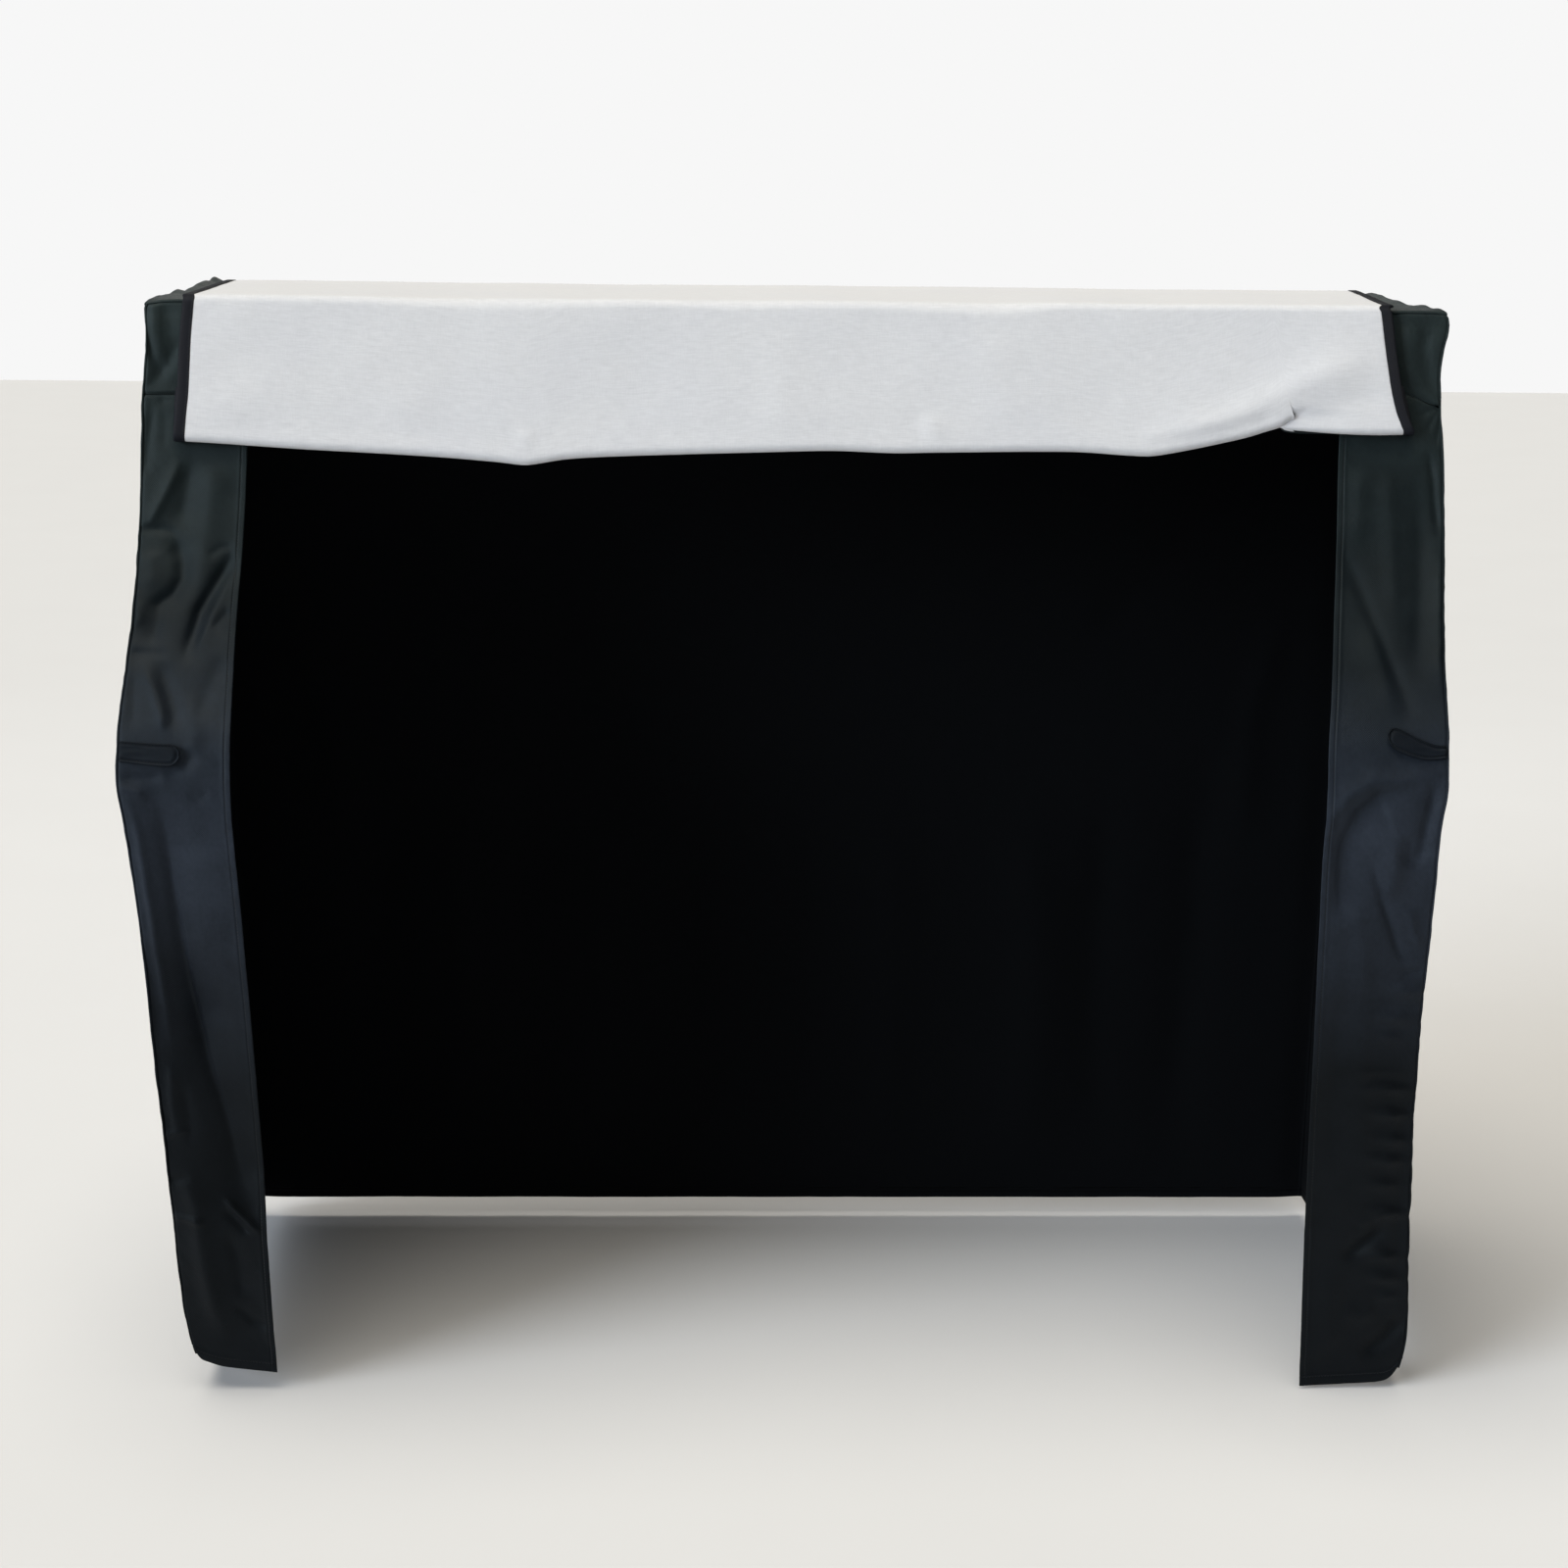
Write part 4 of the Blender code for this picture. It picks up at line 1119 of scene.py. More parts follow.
def lay_yoke():
    """The band across the front, between the side panels."""
    spread = places(YOKE_WIDTH, YOKE_STEP)[None, :]
    part = places(YOKE_HEIGHT, YOKE_LEVEL_STEP)[:, None]
    start = wall_start(spread, 1.0)
    inner = CLOTH + BUTT_GAP
    foot_left = seam_x("left", YOKE_FOOT) + inner
    foot_right = seam_x("right", YOKE_FOOT) - inner
    foot = yoke_foot(foot_left + (foot_right - foot_left) * spread)
    down = start + (foot - start) * part
    left_seam, right_seam = seam_x("left", down), seam_x("right", down)
    left, right = left_seam + inner, right_seam - inner
    x = left + (right - left) * spread
    rise = np.where(x < 0.0, front_rise("left", x - left_seam, down),
                    front_rise("right", right_seam - x, down))
    points = stacked(x, front_y(down) - rise * after(np.abs(x), YOKE_STILL, 0.05), -down)
    piece, _, _ = lay("yoke_cloth", points, CLOTH, BLACK, points[..., [0, 2]], ALL_SEAMS,
                      seed=2)
    settle(piece, "yoke", "black_cloth", flat=(1.524, 0.108), held="hung",
           rests_on=["top_panel", "side_left", "side_right"])


def lay_strip(side):
    """A front strip, from the yoke's seam to the floor, beside the opening."""
    hem, foot_hem = sizes().hem, sizes().foot_hem
    part = places(STRIP_WIDTH, STRIP_STEP, last=hem_marks(hem))[None, :]
    level = places(STRIP_HEIGHT, STRIP_STEP, last=hem_marks(foot_hem))[:, None]
    start, end = strip_span(side, part * STRIP_FEET[-1]["inward"])
    down = start + (end - start) * level
    width = np.abs(along(SECTIONS, "down", side + "_edge", down) - seam_x(side, down))
    outer = CLOTH + BUTT_GAP
    inward = outer + (width - outer) * part
    points = front_point(side, inward, down)
    edges = {**ALL_SEAMS, "right": hem, "foot": foot_hem}
    seed, column = 3, -1 - HEM_STITCHES
    if side == "right":
        points = points[:, ::-1]
        edges = {**ALL_SEAMS, "left": hem, "foot": foot_hem}
        seed, column = 4, HEM_STITCHES
    piece, face, normal = lay(f"strip_{side}_cloth", points, CLOTH, BLACK,
                              points[..., [0, 2]], edges, seed=seed)
    lines = [(face[:-5, column], normal[:-5, column]),
             (face[-1 - HEM_STITCHES, 4:-4], normal[-1 - HEM_STITCHES, 4:-4])]
    stitches = sew(f"strip_{side}_stitches", lines, THREAD)
    settle(piece, "strip_" + side, "black_cloth", [stitches], flat=(0.138, 1.262),
           held="hung", rests_on=["yoke", "side_" + side])


def lay_side(side):
    """A side panel, from the back corner to the slanting front seam."""
    foot_hem = sizes().foot_hem
    forward = places(SIDE_WIDTH, SIDE_STEP)[None, :]
    level = places(SIDE_HEIGHT, SIDE_LEVEL_STEP, last=hem_marks(foot_hem))[:, None]
    start = wall_start(0.0 if side == "left" else 1.0, forward)
    into_front = (forward - 1.0 + FRONT_HEM_PART) / FRONT_HEM_PART
    end = BACK_HEM + (STRIP_FEET[0][side] - BACK_HEM) * ease(into_front)
    down = start + (end - start) * level
    y = BACK + (front_y(down) - BACK) * forward
    from_seam = np.abs(front_y(down) - y)
    loose = after(from_seam, -0.004, SEAM_STILL) * after(BACK - y, -0.002, SEAM_STILL)
    bulge = loose * (creased(SIDE_CREASES[side], from_seam, down)
                     + uneven(side + "_side", y, down))
    points = stacked(wall_x(side, forward, down) + OUTWARD[side] * bulge, y, -down)
    if side == "right":
        points = points[:, ::-1]
    piece, face, normal = lay(f"side_{side}_cloth", points, CLOTH, BLACK,
                              points[..., [1, 2]], {**ALL_SEAMS, "foot": foot_hem},
                              seed=51 if side == "left" else 52)
    stitches = foot_stitches(f"side_{side}_stitches", face, normal)
    settle(piece, "side_" + side, "black_cloth", [stitches], flat=(0.640, 1.262),
           area=0.640, held="hung", rests_on=["top_panel"])


def lay_back():
    """The back panel, between the side panels."""
    foot_hem = sizes().foot_hem
    spread = places(BACK_WIDTH, BACK_STEP)[None, :]
    level = places(BACK_HEIGHT, BACK_STEP, last=hem_marks(foot_hem))[:, None]
    start = wall_start(1.0 - spread, 0.0)
    down = start + (BACK_HEM - start) * level
    half = wall_x("right", 0.0, down) - CLOTH - BUTT_GAP
    x = half * (1.0 - 2.0 * spread)
    loose = after(half - np.abs(x), -0.004, SEAM_STILL)
    bulge = (creased(BACK_CREASES, x + BACK_HALF_WIDTH, down)
             - BACK_DIP * ease(down / 0.3) + uneven("back", x, down))
    under_flap = 1.0 - 0.7 * ease((FLAP_HANG + 0.05 - down) / 0.08)
    points = stacked(x, BACK + loose * np.where(bulge > 0, under_flap, 1.0) * bulge, -down)
    piece, face, normal = lay("back_cloth", points, CLOTH, BLACK, points[..., [0, 2]],
                              {**ALL_SEAMS, "foot": foot_hem}, seed=6)
    stitches = foot_stitches("back_stitches", face, normal)
    settle(piece, "back_panel", "black_cloth", [stitches], flat=(1.510, 1.262),
           held="hung", rests_on=["top_panel", "side_left", "side_right"])


# ------------------------------------------------------------------ flap
def rounded(corners, radii):
    """Bent paths in the YZ plane, one for each column, with an arc at each corner.

    Corners are arrays of (columns, 2). Returns the points, (rows, columns, 2), and each
    row's place along the path, counted in corners.
    """
    points, counts = [corners[0]], [0.0]
    last = corners[0]
    for index, radius in enumerate(radii):
        origin, corner, goal = corners[index:index + 3]
        arrive = (corner - origin) / np.linalg.norm(corner - origin, axis=1, keepdims=True)
        leave = (goal - corner) / np.linalg.norm(goal - corner, axis=1, keepdims=True)
        turn = np.arccos(np.clip((arrive * leave).sum(axis=1, keepdims=True), -1.0, 1.0))
        cut = np.reshape(radius, (-1, 1)) * np.tan(turn / 2.0)
        start, stop = corner - arrive * cut, corner + leave * cut
        run, first = FLAP_RUNS[index], 0.1 if index else 0.0
        for i in range(1, run):
            points.append(last + (start - last) * i / run)
            counts.append(index + first + (0.9 - first) * i / run)
        for i in range(FLAP_TURNS[index] + 1):
            t = i / FLAP_TURNS[index]
            pull = 2.0 * (1.0 - t) * t * np.cos(turn / 2.0)
            bend = start * (1.0 - t) ** 2 + corner * pull + stop * t ** 2
            points.append(bend / ((1.0 - t) ** 2 + pull + t ** 2))
            counts.append(index + 0.9 + 0.2 * t)
        last = stop
    run, begin = FLAP_RUNS[-1], len(radii) + 0.1
    for i in range(1, run + 1):
        points.append(last + (corners[-1] - last) * i / run)
        counts.append(begin + 0.9 * i / run)
    return np.array(points), np.array(counts)


def yz_facing(path):
    """Unit directions off bent paths in the YZ plane, towards their black side."""
    heading = np.gradient(path, axis=0)
    heading /= np.linalg.norm(heading, axis=-1, keepdims=True)
    return np.stack([heading[..., 1], -heading[..., 0]], axis=-1)


def pleat(x, down):
    """The tuck in the fold, which dies away upwards.

    Returns how far its left side stands over the right one, and how far each point is drawn
    to the left.
    """
    low = after(down, PLEAT_DOWN, 0.010)
    still = ease((PLEAT_X - x) / PLEAT_WIDTH)
    sunk = after(x, PLEAT_X, 0.0014)
    past = after(x, PLEAT_X + 0.0004, PLEAT_STEP)
    spent = ease((PLEAT_END - x) / (PLEAT_END - PLEAT_X))
    rising = after(down, PLEAT_DOWN - 0.004, 0.014)
    over = PLEAT_RISE * rising * (1.0 - still) * (1.0 - sunk)
    under = -PLEAT_SINK * low * sunk * spent
    return over + under, PLEAT_TUCK * low * past * spent


def flap_faces(x, proud):
    """The flap at places across it: points in YZ proud of its black face, and their corners.

    x is the place at the fold. Creases lift it away from the cover.
    """
    lap = yoke_foot(x) - FLAP_LAP
    fold = along(FLAP_FOLD, "x", "down", x)
    seam_y = front_y(lap) - FLAP_STACK - FLAP_STAND
    droop = along(FLAP_BROW, "x", "droop", x)
    crest = CLOTH + FLAP_CREST + FLAP_UNEVEN * sway(x, 0.0)
    brow_y = FRONT - FLAP_CLEAR - 0.6 * droop
    level_y = seam_y + front_y(FLAP_LEVEL) - front_y(lap) - 2.0 * FOLD_RADIUS
    outer_y = brow_y + (level_y - brow_y) * (fold + crest) / (FLAP_LEVEL + crest)
    root_y = outer_y + 2.0 * FOLD_RADIUS
    flare = FLAP_FLARE + 0.4 * FLAP_FLARE * sway(0.7 * x, 1.0)
    hang = FLAP_HANG + HEM_UNEVEN * sway(0.4 * x, 2.0)
    back_y = np.full_like(x, BACK + FLAP_CLEAR)
    corners = [
        np.stack([seam_y, -lap], axis=1),
        np.stack([root_y, -fold], axis=1),
        np.stack([outer_y, -fold], axis=1),
        np.stack([brow_y, crest - droop], axis=1),
        np.stack([back_y, crest + 0.5 * rim_lift(x, BACK)], axis=1),
        np.stack([back_y + flare, -hang], axis=1),
    ]
    fold_turn = 0.98 * FOLD_RADIUS    # its two arcs stop just short of each other
    brow_turn = along(FLAP_BROW, "x", "turn", x)
    path, counts = rounded(corners, (fold_turn, fold_turn, brow_turn, BACK_TURN))
    step = np.linalg.norm(np.diff(path, axis=0), axis=-1)
    run = np.pad(np.cumsum(step, axis=0), ((1, 0), (0, 0)))
    run = run - run[np.searchsorted(counts, 2.0)]
    even = np.mean([along(FLAP_FOLD, "x", "down", x + near)
                    for near in np.linspace(-0.032, 0.032, 9)], axis=0)
    soft = run + even - fold
    up = run + FLAP_LEVEL - fold
    free = ease(soft / 0.020) * after(soft, -0.005, 0.030)
    over_top = after(counts, 2.80, 0.20) * (1.0 - after(counts, 4.10, 0.25))
    rise = creased(FLAP_CREASES, x[None, :], up)
    rise = rise + uneven("flap", x[None, :], up) * ease(soft / 0.020)
    pressed = 1.0 - TOP_PRESS * over_top[:, None]
    rise = np.where(rise < 0, TROUGH_SHARE, 1.0) * rise * free * pressed
    shift, drawn = pleat(x[None, :], -path[..., 1])
    front = after(run, -0.012, 0.012) * (run < 0.2)
    shift, drawn = shift * front, drawn * front
    face = path + yz_facing(path) * (proud - (rise + shift)[..., None])
    return face, counts, run, drawn


def flap_grid(across, proud, overlap):
    """Points of the flap across its width, 0 to 1, and places on the flat cloth.

    Its long edges reach past their line by the overlap.
    """
    x = FLAP_LEFT + (FLAP_RIGHT - FLAP_LEFT) * across
    here, counts, run, drawn = flap_faces(x, proud)
    left = along(FLAP_EDGES, "corner", "left", counts)[:, None] - overlap
    right = along(FLAP_EDGES, "corner", "right", counts)[:, None] + overlap
    wide = left + (right - left) * across[None, :]
    flat = stacked(wide, run, 0.0 * run)[..., :2]
    return stacked(wide - drawn, here[..., 0], here[..., 1]), flat


def lay_flap():
    """The flap's black cloth and its pale lining, from its seam to its free end behind."""
    inner = BINDING_GAP + TUCKED - 0.0005
    across = places(FLAP_WIDTH, FLAP_STEP, (0.0,), (0.0,))
    tuck = PLEAT_X + np.array(PLEAT_MARKS) / 1000.0
    tuck = (tuck - FLAP_LEFT) / (FLAP_RIGHT - FLAP_LEFT)
    beside = (across < tuck[0] - 0.002) | (across > tuck[-1] + 0.002)
    across = np.unique(np.r_[across[beside], tuck])
    points, flat = flap_grid(across, 0.0, inner)
    cloth, _, _ = lay("flap_cloth_face", points, FLAP_CLOTH, BLACK, flat, {}, seed=7)
    settle(cloth, "flap_cloth", "black_cloth", flat=(1.463, 1.210), held="draped",
           rests_on=["yoke", "top_panel"])
    points, flat = flap_grid(across, -FLAP_STACK, inner)
    lining, face, normal = lay("flap_lining_face", points, LINING, PALE, flat,
                               {"foot": sizes().flap_hem}, facing=-1, seed=8)
    stitches = sew("flap_stitches", [(face[-3, 1:-1], normal[-3, 1:-1])], PALE_THREAD)
    settle(lining, "flap_lining", "pale_lining", [stitches], flat=(1.463, 1.210),
           held="draped", rests_on=["flap_cloth"])


def lay_binding(side):
    """The folded tape that takes in a long edge of the flap, stitched through."""
    x = np.array([FLAP_LEFT if side == "left" else FLAP_RIGHT])
    here, counts, run, _ = flap_faces(x, 0.0)
    here = here[:, 0]
    edge = along(FLAP_EDGES, "corner", side, counts) + OUTWARD[side] * BINDING_GAP
    black_side = yz_facing(here)
    section = np.array([(point["out"], point["up"]) for point in BINDING_SECTION])
    out, up = section[:, 0] + uneven("binding", run[:, :1], 0.0), section[:, 1]
    points = stacked(edge[:, None] + OUTWARD[side] * out,
                     here[:, None, 0] + black_side[:, None, 0] * up,
                     here[:, None, 1] + black_side[:, None, 1] * up)
    rows, ends = points.shape[:2]
    index = np.arange(rows * ends).reshape(rows, ends)
    beside = np.roll(index, -1, axis=1)
    quads = np.stack([index[:-1].ravel(), beside[:-1].ravel(), beside[1:].ravel(),
                      index[1:].ravel()], axis=1)
    first, last = index[0, ::-1], index[-1]
    if side == "left":
        quads, first, last = quads[:, ::-1], first[::-1], last[::-1]
    faces = quads.tolist() + [first.tolist(), last.tolist()]
    round_section = np.cumsum(np.r_[0.0, np.linalg.norm(np.diff(section, axis=0), axis=1)])
    flat = np.stack(np.broadcast_arrays(round_section[None, :], run[:, :1]), axis=-1)
    piece = mesh_piece(f"binding_{side}_tape", points.reshape(-1, 3), faces, finish_of(TAPE),
                       flat.reshape(-1, 2))
    lining_side = stacked(0.0, -black_side[:, 0], -black_side[:, 1])
    stitches = sew(f"binding_{side}_stitches",
                   [(points[2:, BINDING_STITCHES], lining_side[2:])], THREAD)
    settle(piece, "binding_" + side, "dark_binding", [stitches], flat=(0.027, 1.210),
           held="folded", rests_on=["flap_cloth", "flap_lining"])


# ------------------------------------------------------------------ tabs
def lay_tab(side):
    """A short tab sewn into the outer seam, lying on the strip, round at its free end."""
    radius = TAB_WIDTH / 2.0
    end_marks, side_marks = (0.0, 0.0003, 0.0008, 0.0015, 0.0026, 0.0040), (0.0, 0.0005, 0.0012)
    part = places(TAB_LENGTH, TAB_STEP, (0.0,), end_marks)[None, :]
    over = 2.0 * places(TAB_WIDTH, TAB_ACROSS_STEP, side_marks, side_marks)[:, None] - 1.0
    run = part * TAB_LENGTH
    past_centre = np.maximum(0.0, run - TAB_LENGTH + radius)
    into_end = past_centre / radius
    neck = TAB_NECK[side] + (1.0 - TAB_NECK[side]) * ease(part / 0.75)
    half = radius * np.minimum(neck, np.sqrt(np.maximum(0.030, 1.0 - into_end ** 2)))
    drop = (TAB_DOWN[side] + TAB_SAG[side] * ease(part)
            + TAB_BEND[side] * np.sin(math.pi * part) + half * over)
    points = front_point(side, TAB_INWARD + run, drop)
    within = np.minimum(neck * radius - half * np.abs(over),
                        radius - np.hypot(past_centre, half * over))
    border = TAB_BORDER_RISE * (1.0 - after(within, TAB_BORDER, 0.0016))
    border = border - TAB_GROOVE_DEPTH * hump(within - TAB_GROOVE, TAB_GROOVE_WIDTH)
    worn = uneven("tab", run, 3.0 * drop) * after(within, 0.003, 0.003)
    cup = TAB_CUP * over ** 2 * ease(part / 0.4)
    proud = CLOTH + TAB_GAP + TAB_CURL * ease(part) + border + cup + worn
    points = points - stacked(0.0, 1.0, 0.0) * proud[..., None]
    if side == "right":
        points = points[:, ::-1]
    piece, face, normal = lay(f"tab_{side}_strap", points, CLOTH, TAB_BLACK,
                              points[..., [0, 2]], {}, seed=9)
    ring = np.minimum(TAB_STITCHES, 0.5 * half) / half
    columns = part.shape[1]
    order = range(columns) if side == "left" else range(columns - 1, -1, -1)
    lines = []
    for sign in (-1.0, 1.0):
        at = np.clip(sign * (1.0 - ring[0]), -1.0, 1.0)
        line, ups = [], []
        for place, column in enumerate(order):
            if within[:, place].max() < TAB_GROOVE:
                break
            line.append([np.interp(at[place], over[:, 0], face[:, column, axis])
                         for axis in range(3)])
            ups.append([np.interp(at[place], over[:, 0], normal[:, column, axis])
                        for axis in range(3)])
        lines.append((np.array(line), np.array(ups)))
    stitches = sew(f"tab_{side}_stitches", lines, TAB_THREAD)
    settle(piece, "tab_" + side, "black_cloth", [stitches], flat=(0.023, 0.068),
           area=0.0015, held="laid", rests_on=["strip_" + side])


# ------------------------------------------------------------------ stage
def hang_light(name, kind, power, place, target, colour, **shape):
    """A lamp at a place, turned to a point, with the settings of its shape."""
    data = bpy.data.lights.new(name, kind)
    data.energy, data.color = power, colour
    for setting, value in shape.items():
        setattr(data, setting, value)
    lamp = bpy.data.objects.new(name, data)
    lamp.location = place
    lamp.rotation_euler = (Vector(target) - Vector(place)).to_track_quat("-Z", "Y").to_euler()
    bpy.context.scene.collection.objects.link(lamp)


def set_floor():
    """A plain pale floor under the hems."""
    paint = Finish("pale floor", Specular_IOR_Level=0.1)
    speck = paint.noise(paint.place(), 3.0, 3.0)
    colour = paint.shaded(bpy.context.scene.piano_cover_stage.floor,
                          0.985 + speck.strays(0.03))
    paint.finish(colour, 0.85 + speck.strays(0.05))
    corners = ((-1, -1), (1, -1), (1, 1), (-1, 1))
    vertices = np.array([(FLOOR_HALF * x, FLOOR_HALF * y, FLOOR) for x, y in corners])
    mesh_piece("floor", vertices, [(0, 1, 2, 3)], paint.material)


def set_world():
    """Soft light from all round, before a white background."""
    settings = bpy.context.scene.piano_cover_stage
    world = bpy.data.worlds.new("studio")
    world.use_nodes = True
    tree = world.node_tree
    light = tree.nodes["Background"]
    light.inputs["Color"].default_value = (*settings.sky, 1.0)
    light.inputs["Strength"].default_value = settings.sky_strength
    white = tree.nodes.new("ShaderNodeBackground")
    white.inputs["Color"].default_value = (*settings.background, 1.0)
    rays = tree.nodes.new("ShaderNodeLightPath")
    mixed = tree.nodes.new("ShaderNodeMixShader")
    tree.links.new(rays.outputs["Is Camera Ray"], mixed.inputs["Fac"])
    tree.links.new(light.outputs["Background"], mixed.inputs[1])
    tree.links.new(white.outputs["Background"], mixed.inputs[2])
    tree.links.new(mixed.outputs["Shader"], tree.nodes["World Output"].inputs["Surface"])
    bpy.context.scene.world = world
    bpy.context.scene.view_settings.view_transform = "Standard"


def set_camera():
    """The camera, a little above the top and left of the middle."""
    data = bpy.data.cameras.new("camera")
    data.lens, data.sensor_width = 58.63, 36.0
    data.clip_start, data.clip_end = 0.1, 100.0
    camera = bpy.data.objects.new("camera", data)
    camera.location = (-0.0913, -3.2069, 0.1634)
    camera.rotation_euler = [math.radians(angle) for angle in (76.328, -0.601, -1.389)]
    bpy.context.scene.collection.objects.link(camera)
    bpy.context.scene.camera = camera


# ------------------------------------------------------------------ settings
def length_property(name, description, default, low, high):
    """A length of the sidebar."""
    return FloatProperty(name=name, description=description, default=default, min=low,
                         max=high, unit="LENGTH")


def colour_property(name, description, default):
    """A colour of the sidebar."""
    return FloatVectorProperty(name=name, description=description, default=default,
                               subtype="COLOR", size=3, min=0.0, max=1.0)


class PianoCoverSizes(bpy.types.PropertyGroup):
    """Sizes of the hems, stitches and folds."""

    hem: length_property("Hem", "Turned-back edge beside the opening", 0.0085, 0.005, 0.02)
    foot_hem: length_property("Foot hem", "Turned-back edge at the floor", 0.014, 0.008, 0.04)
    flap_hem: length_property("Flap hem", "Stitched edge of the flap's end", 0.012, 0.006, 0.03)
    stitch: length_property("Stitch", "Length of one stitch", 0.0029, 0.001, 0.008)
    stitch_gap: length_property("Stitch gap", "Between two stitches", 0.0009, 0.0003, 0.004)
    thread: length_property("Thread", "Thickness of the sewing thread", 0.0006, 0.0002, 0.0015)
    weave: length_property("Weave", "Distance between the weave's dots", 0.0024, 0.0005, 0.006)
    crease_depth: FloatProperty(name="Crease depth", description="Depth of all the creases",
                                default=1.0, min=0.0, max=1.5, subtype="FACTOR")


class PianoCoverColours(bpy.types.PropertyGroup):
    """Colours of the cloths, tape and thread."""

    # The black cloth's colour at four heights, as painted light and shade: painted light over
    # the top, painted shade above the keyboard, painted light below the keyboard, painted shade
    # near the floor.
    black_top_painted_light: colour_property("Black at the top", "Black cloth over the piano's top",
                               (0.0190, 0.0275, 0.0285))
    black_shoulder_painted_shade: colour_property("Black at the shoulder", "Black cloth above the keyboard",
                                    (0.0030, 0.0052, 0.0074))
    black_middle_painted_light: colour_property("Black at the middle", "Black cloth below the keyboard",
                                  (0.0200, 0.0255, 0.0370))
    black_foot_painted_shade: colour_property("Black at the foot", "Black cloth near the floor",
                                (0.0035, 0.0043, 0.0056))
    lining: colour_property("Lining", "Threads of the pale lining", (0.664, 0.680, 0.716))
    lining_dark: colour_property("Lining, between threads", "Darker gaps of the lining",
                                 (0.430, 0.443, 0.480))
    lining_cool: colour_property("Lining, cool", "Cooler clouds of the lining",
                                 (0.490, 0.515, 0.600))
    tape: colour_property("Binding", "Blue-black tape", (0.0080, 0.0095, 0.0150))
    thread: colour_property("Thread", "Sewing thread of the black cloth",
                            (0.016, 0.018, 0.020))


class PianoCoverStage(bpy.types.PropertyGroup):
    """Floor and light."""

    floor: colour_property("Floor", "Plain pale floor", (0.600, 0.618, 0.655))
    background: colour_property("Background", "What shows beyond the floor",
                                (0.93, 0.93, 0.93))
    sky: colour_property("Surroundings", "Light from all round", (0.97, 0.985, 1.0))
    sky_strength: FloatProperty(name="Surroundings' strength", default=0.06, min=0.0,
                                max=5.0, description="Strength of the light all round")
    key: FloatProperty(name="Window light", default=3.0, min=0.0, max=20.0,
                       description="Strength of the soft light from the left")
    fill: FloatProperty(name="Fill light", default=2.0, min=0.0, max=1000.0, unit="POWER",
                        description="Power of the soft light on the right")
    rear: FloatProperty(name="Rear light", default=12.0, min=0.0, max=1000.0, unit="POWER",
                        description="Power of the long soft light behind the cover")
    overhead: FloatProperty(name="Overhead light", default=3.30, min=0.0, max=20.0,
                            description="Strength of the light from above")


# ------------------------------------------------------------------ operators
class PIANO_COVER_OT_lay_top(bpy.types.Operator):
    """Lay the top panel"""

    bl_idname = "piano_cover.lay_top"
    bl_label = "Top"

    def execute(self, context):
        lay_top()
        return {"FINISHED"}


class PIANO_COVER_OT_lay_yoke(bpy.types.Operator):
    """Lay the band across the front"""

    bl_idname = "piano_cover.lay_yoke"
    bl_label = "Yoke"

    def execute(self, context):
        lay_yoke()
        return {"FINISHED"}


class PIANO_COVER_OT_lay_back(bpy.types.Operator):
    """Lay the back panel"""

    bl_idname = "piano_cover.lay_back"
    bl_label = "Back"

    def execute(self, context):
        lay_back()
        return {"FINISHED"}


class PIANO_COVER_OT_lay_sides(bpy.types.Operator):
    """Lay both side panels"""

    bl_idname = "piano_cover.lay_sides"
    bl_label = "Sides"

    def execute(self, context):
        for side in OUTWARD:
            lay_side(side)
        return {"FINISHED"}


class PIANO_COVER_OT_lay_strips(bpy.types.Operator):
    """Lay both front strips"""

    bl_idname = "piano_cover.lay_strips"
    bl_label = "Strips"

    def execute(self, context):
        for side in OUTWARD:
            lay_strip(side)
        return {"FINISHED"}


class PIANO_COVER_OT_lay_tabs(bpy.types.Operator):
    """Lay the tab on each strip"""

    bl_idname = "piano_cover.lay_tabs"
    bl_label = "Tabs"

    def execute(self, context):
        for side in OUTWARD:
            lay_tab(side)
        return {"FINISHED"}


class PIANO_COVER_OT_lay_flap(bpy.types.Operator):
    """Lay the flap and its lining"""

    bl_idname = "piano_cover.lay_flap"
    bl_label = "Flap"

    def execute(self, context):
        lay_flap()
        return {"FINISHED"}


class PIANO_COVER_OT_lay_bindings(bpy.types.Operator):
    """Bind both long edges of the flap"""

    bl_idname = "piano_cover.lay_bindings"
    bl_label = "Bindings"

    def execute(self, context):
        for side in OUTWARD:
            lay_binding(side)
        return {"FINISHED"}


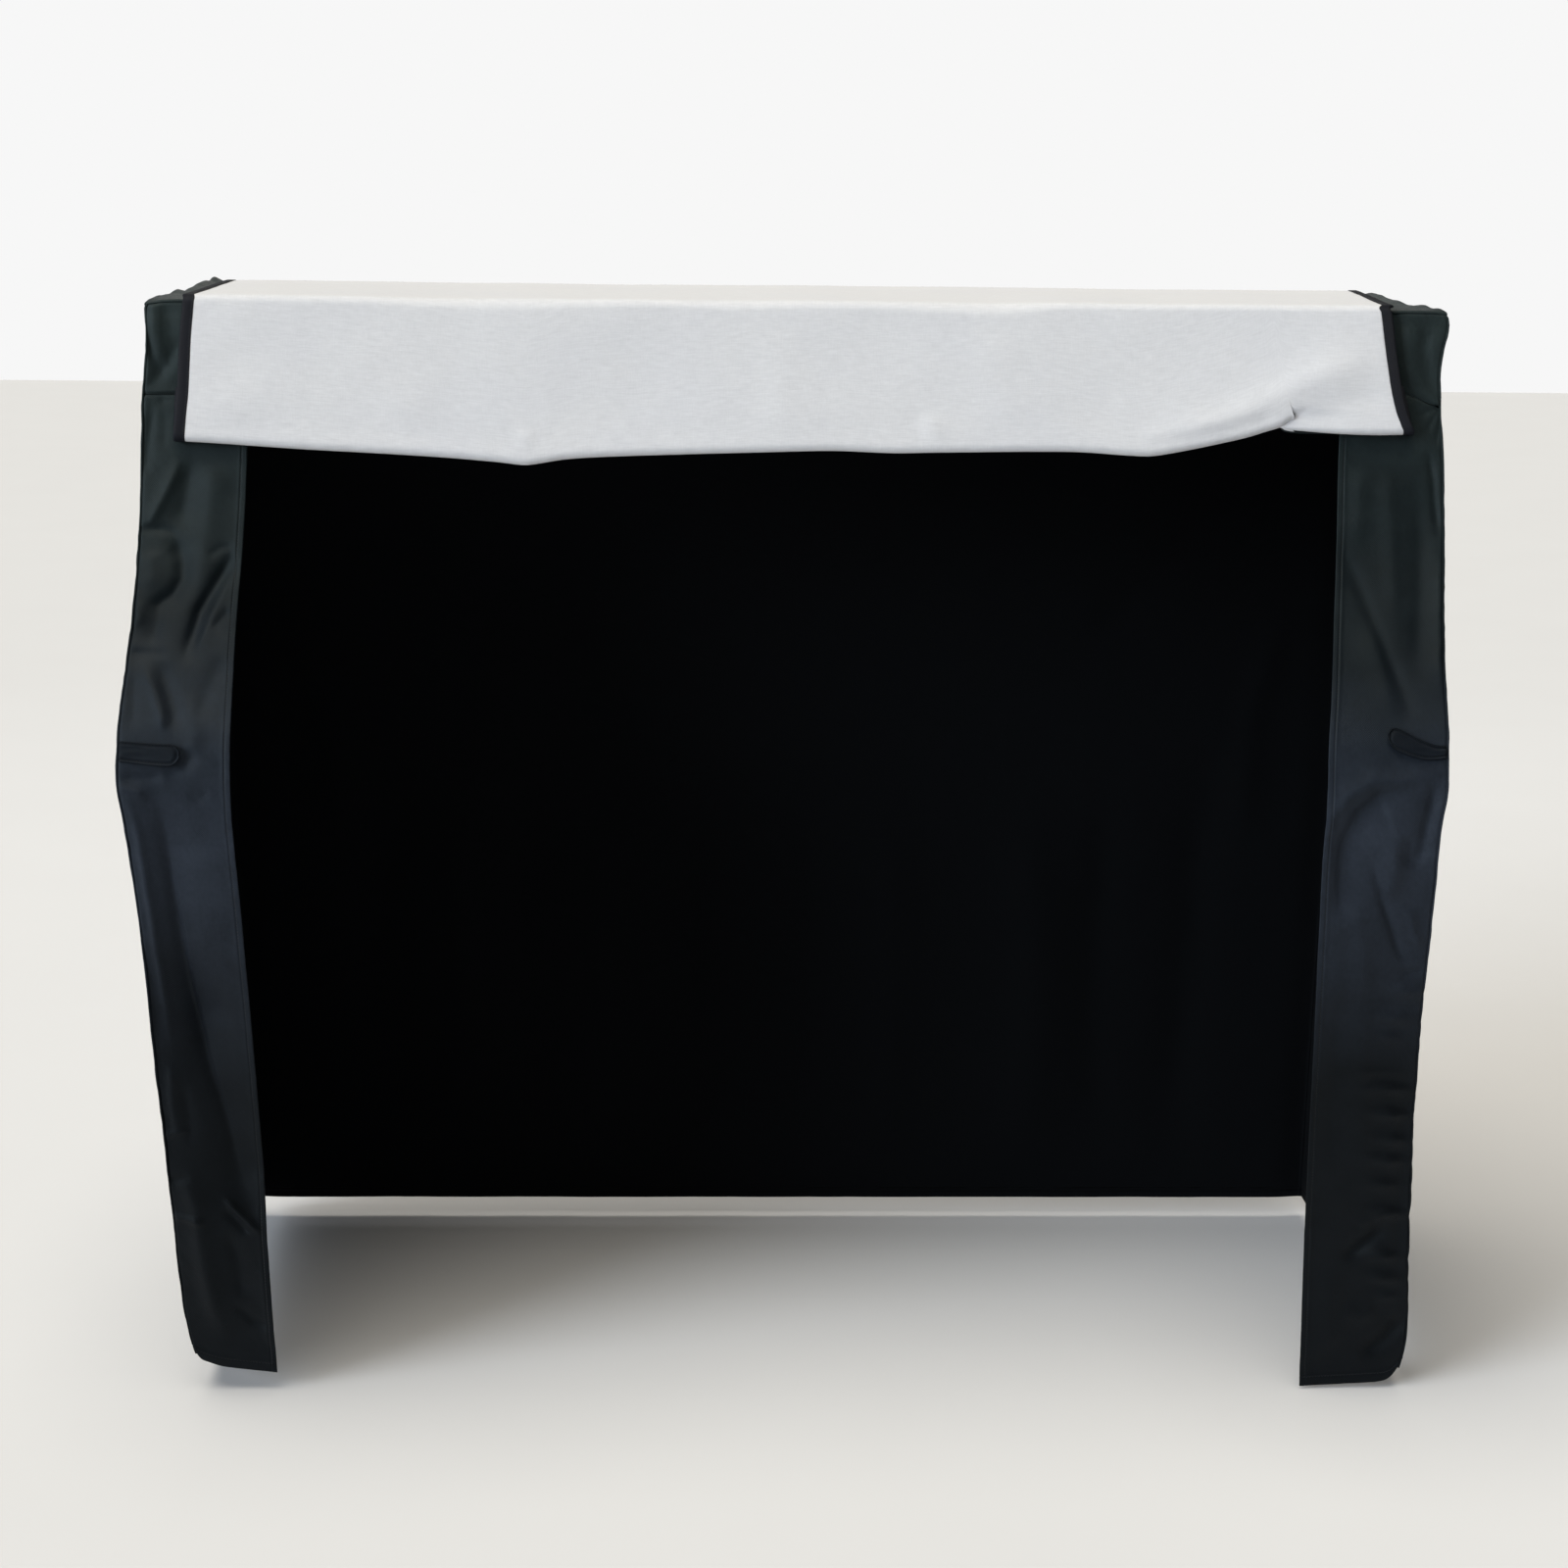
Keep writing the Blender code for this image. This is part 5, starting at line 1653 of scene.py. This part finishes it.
class PIANO_COVER_OT_set_stage(bpy.types.Operator):
    """Set the floor, the lights and the camera"""

    bl_idname = "piano_cover.set_stage"
    bl_label = "Stage"

    def execute(self, context):
        stage = context.scene.piano_cover_stage
        set_floor()
        set_world()
        set_camera()
        hang_light("window", "SUN", stage.key, (-3.2, -2.0, 0.8), (0.0, 0.0, -0.5),
                   (0.91, 0.96, 1.0), angle=math.radians(32.0))
        hang_light("fill", "AREA", stage.fill, (2.0, -3.6, 0.3), (0.2, -0.2, -0.5),
                   (0.96, 0.98, 1.0), shape="RECTANGLE", size=1.6, size_y=1.6)
        hang_light("rear window", "AREA", stage.rear, (0.0, 3.4, 1.1), (0.0, 0.0, 0.0),
                   (1.0, 0.97, 0.93), shape="RECTANGLE", size=3.4, size_y=1.0)
        hang_light("overhead", "SUN", stage.overhead, (-0.6, -0.3, 3.0), (0.0, 0.0, 0.0),
                   (1.0, 0.92, 0.78), angle=math.radians(50.0))
        return {"FINISHED"}


STEPS = (
    PIANO_COVER_OT_lay_top, PIANO_COVER_OT_lay_yoke, PIANO_COVER_OT_lay_back,
    PIANO_COVER_OT_lay_sides, PIANO_COVER_OT_lay_strips, PIANO_COVER_OT_lay_tabs,
    PIANO_COVER_OT_lay_flap, PIANO_COVER_OT_lay_bindings, PIANO_COVER_OT_set_stage,
)


class VIEW3D_PT_piano_cover(bpy.types.Panel):
    """The cover's steps and settings"""

    bl_label = "Piano Cover"
    bl_idname = "VIEW3D_PT_piano_cover"
    bl_space_type = "VIEW_3D"
    bl_region_type = "UI"
    bl_category = "Piano Cover"

    def draw(self, context):
        layout = self.layout
        for step in STEPS:
            layout.operator(step.bl_idname)
        for group in SETTINGS:
            settings = getattr(context.scene, group)
            box = layout.box()
            for name in settings.bl_rna.properties.keys():
                if name not in ("rna_type", "name"):
                    box.prop(settings, name)


SETTINGS = {
    "piano_cover_sizes": PianoCoverSizes,
    "piano_cover_colours": PianoCoverColours,
    "piano_cover_stage": PianoCoverStage,
}


def register():
    for group, kind in SETTINGS.items():
        bpy.utils.register_class(kind)
        setattr(bpy.types.Scene, group, PointerProperty(type=kind))
    for kind in (*STEPS, VIEW3D_PT_piano_cover):
        bpy.utils.register_class(kind)


def unregister():
    for kind in reversed((*STEPS, VIEW3D_PT_piano_cover)):
        bpy.utils.unregister_class(kind)
    for group, kind in reversed(SETTINGS.items()):
        delattr(bpy.types.Scene, group)
        bpy.utils.unregister_class(kind)


def main():
    register()
    for step in STEPS:
        group, name = step.bl_idname.split(".")
        getattr(getattr(bpy.ops, group), name)()


if __name__ == "__main__":
    main()
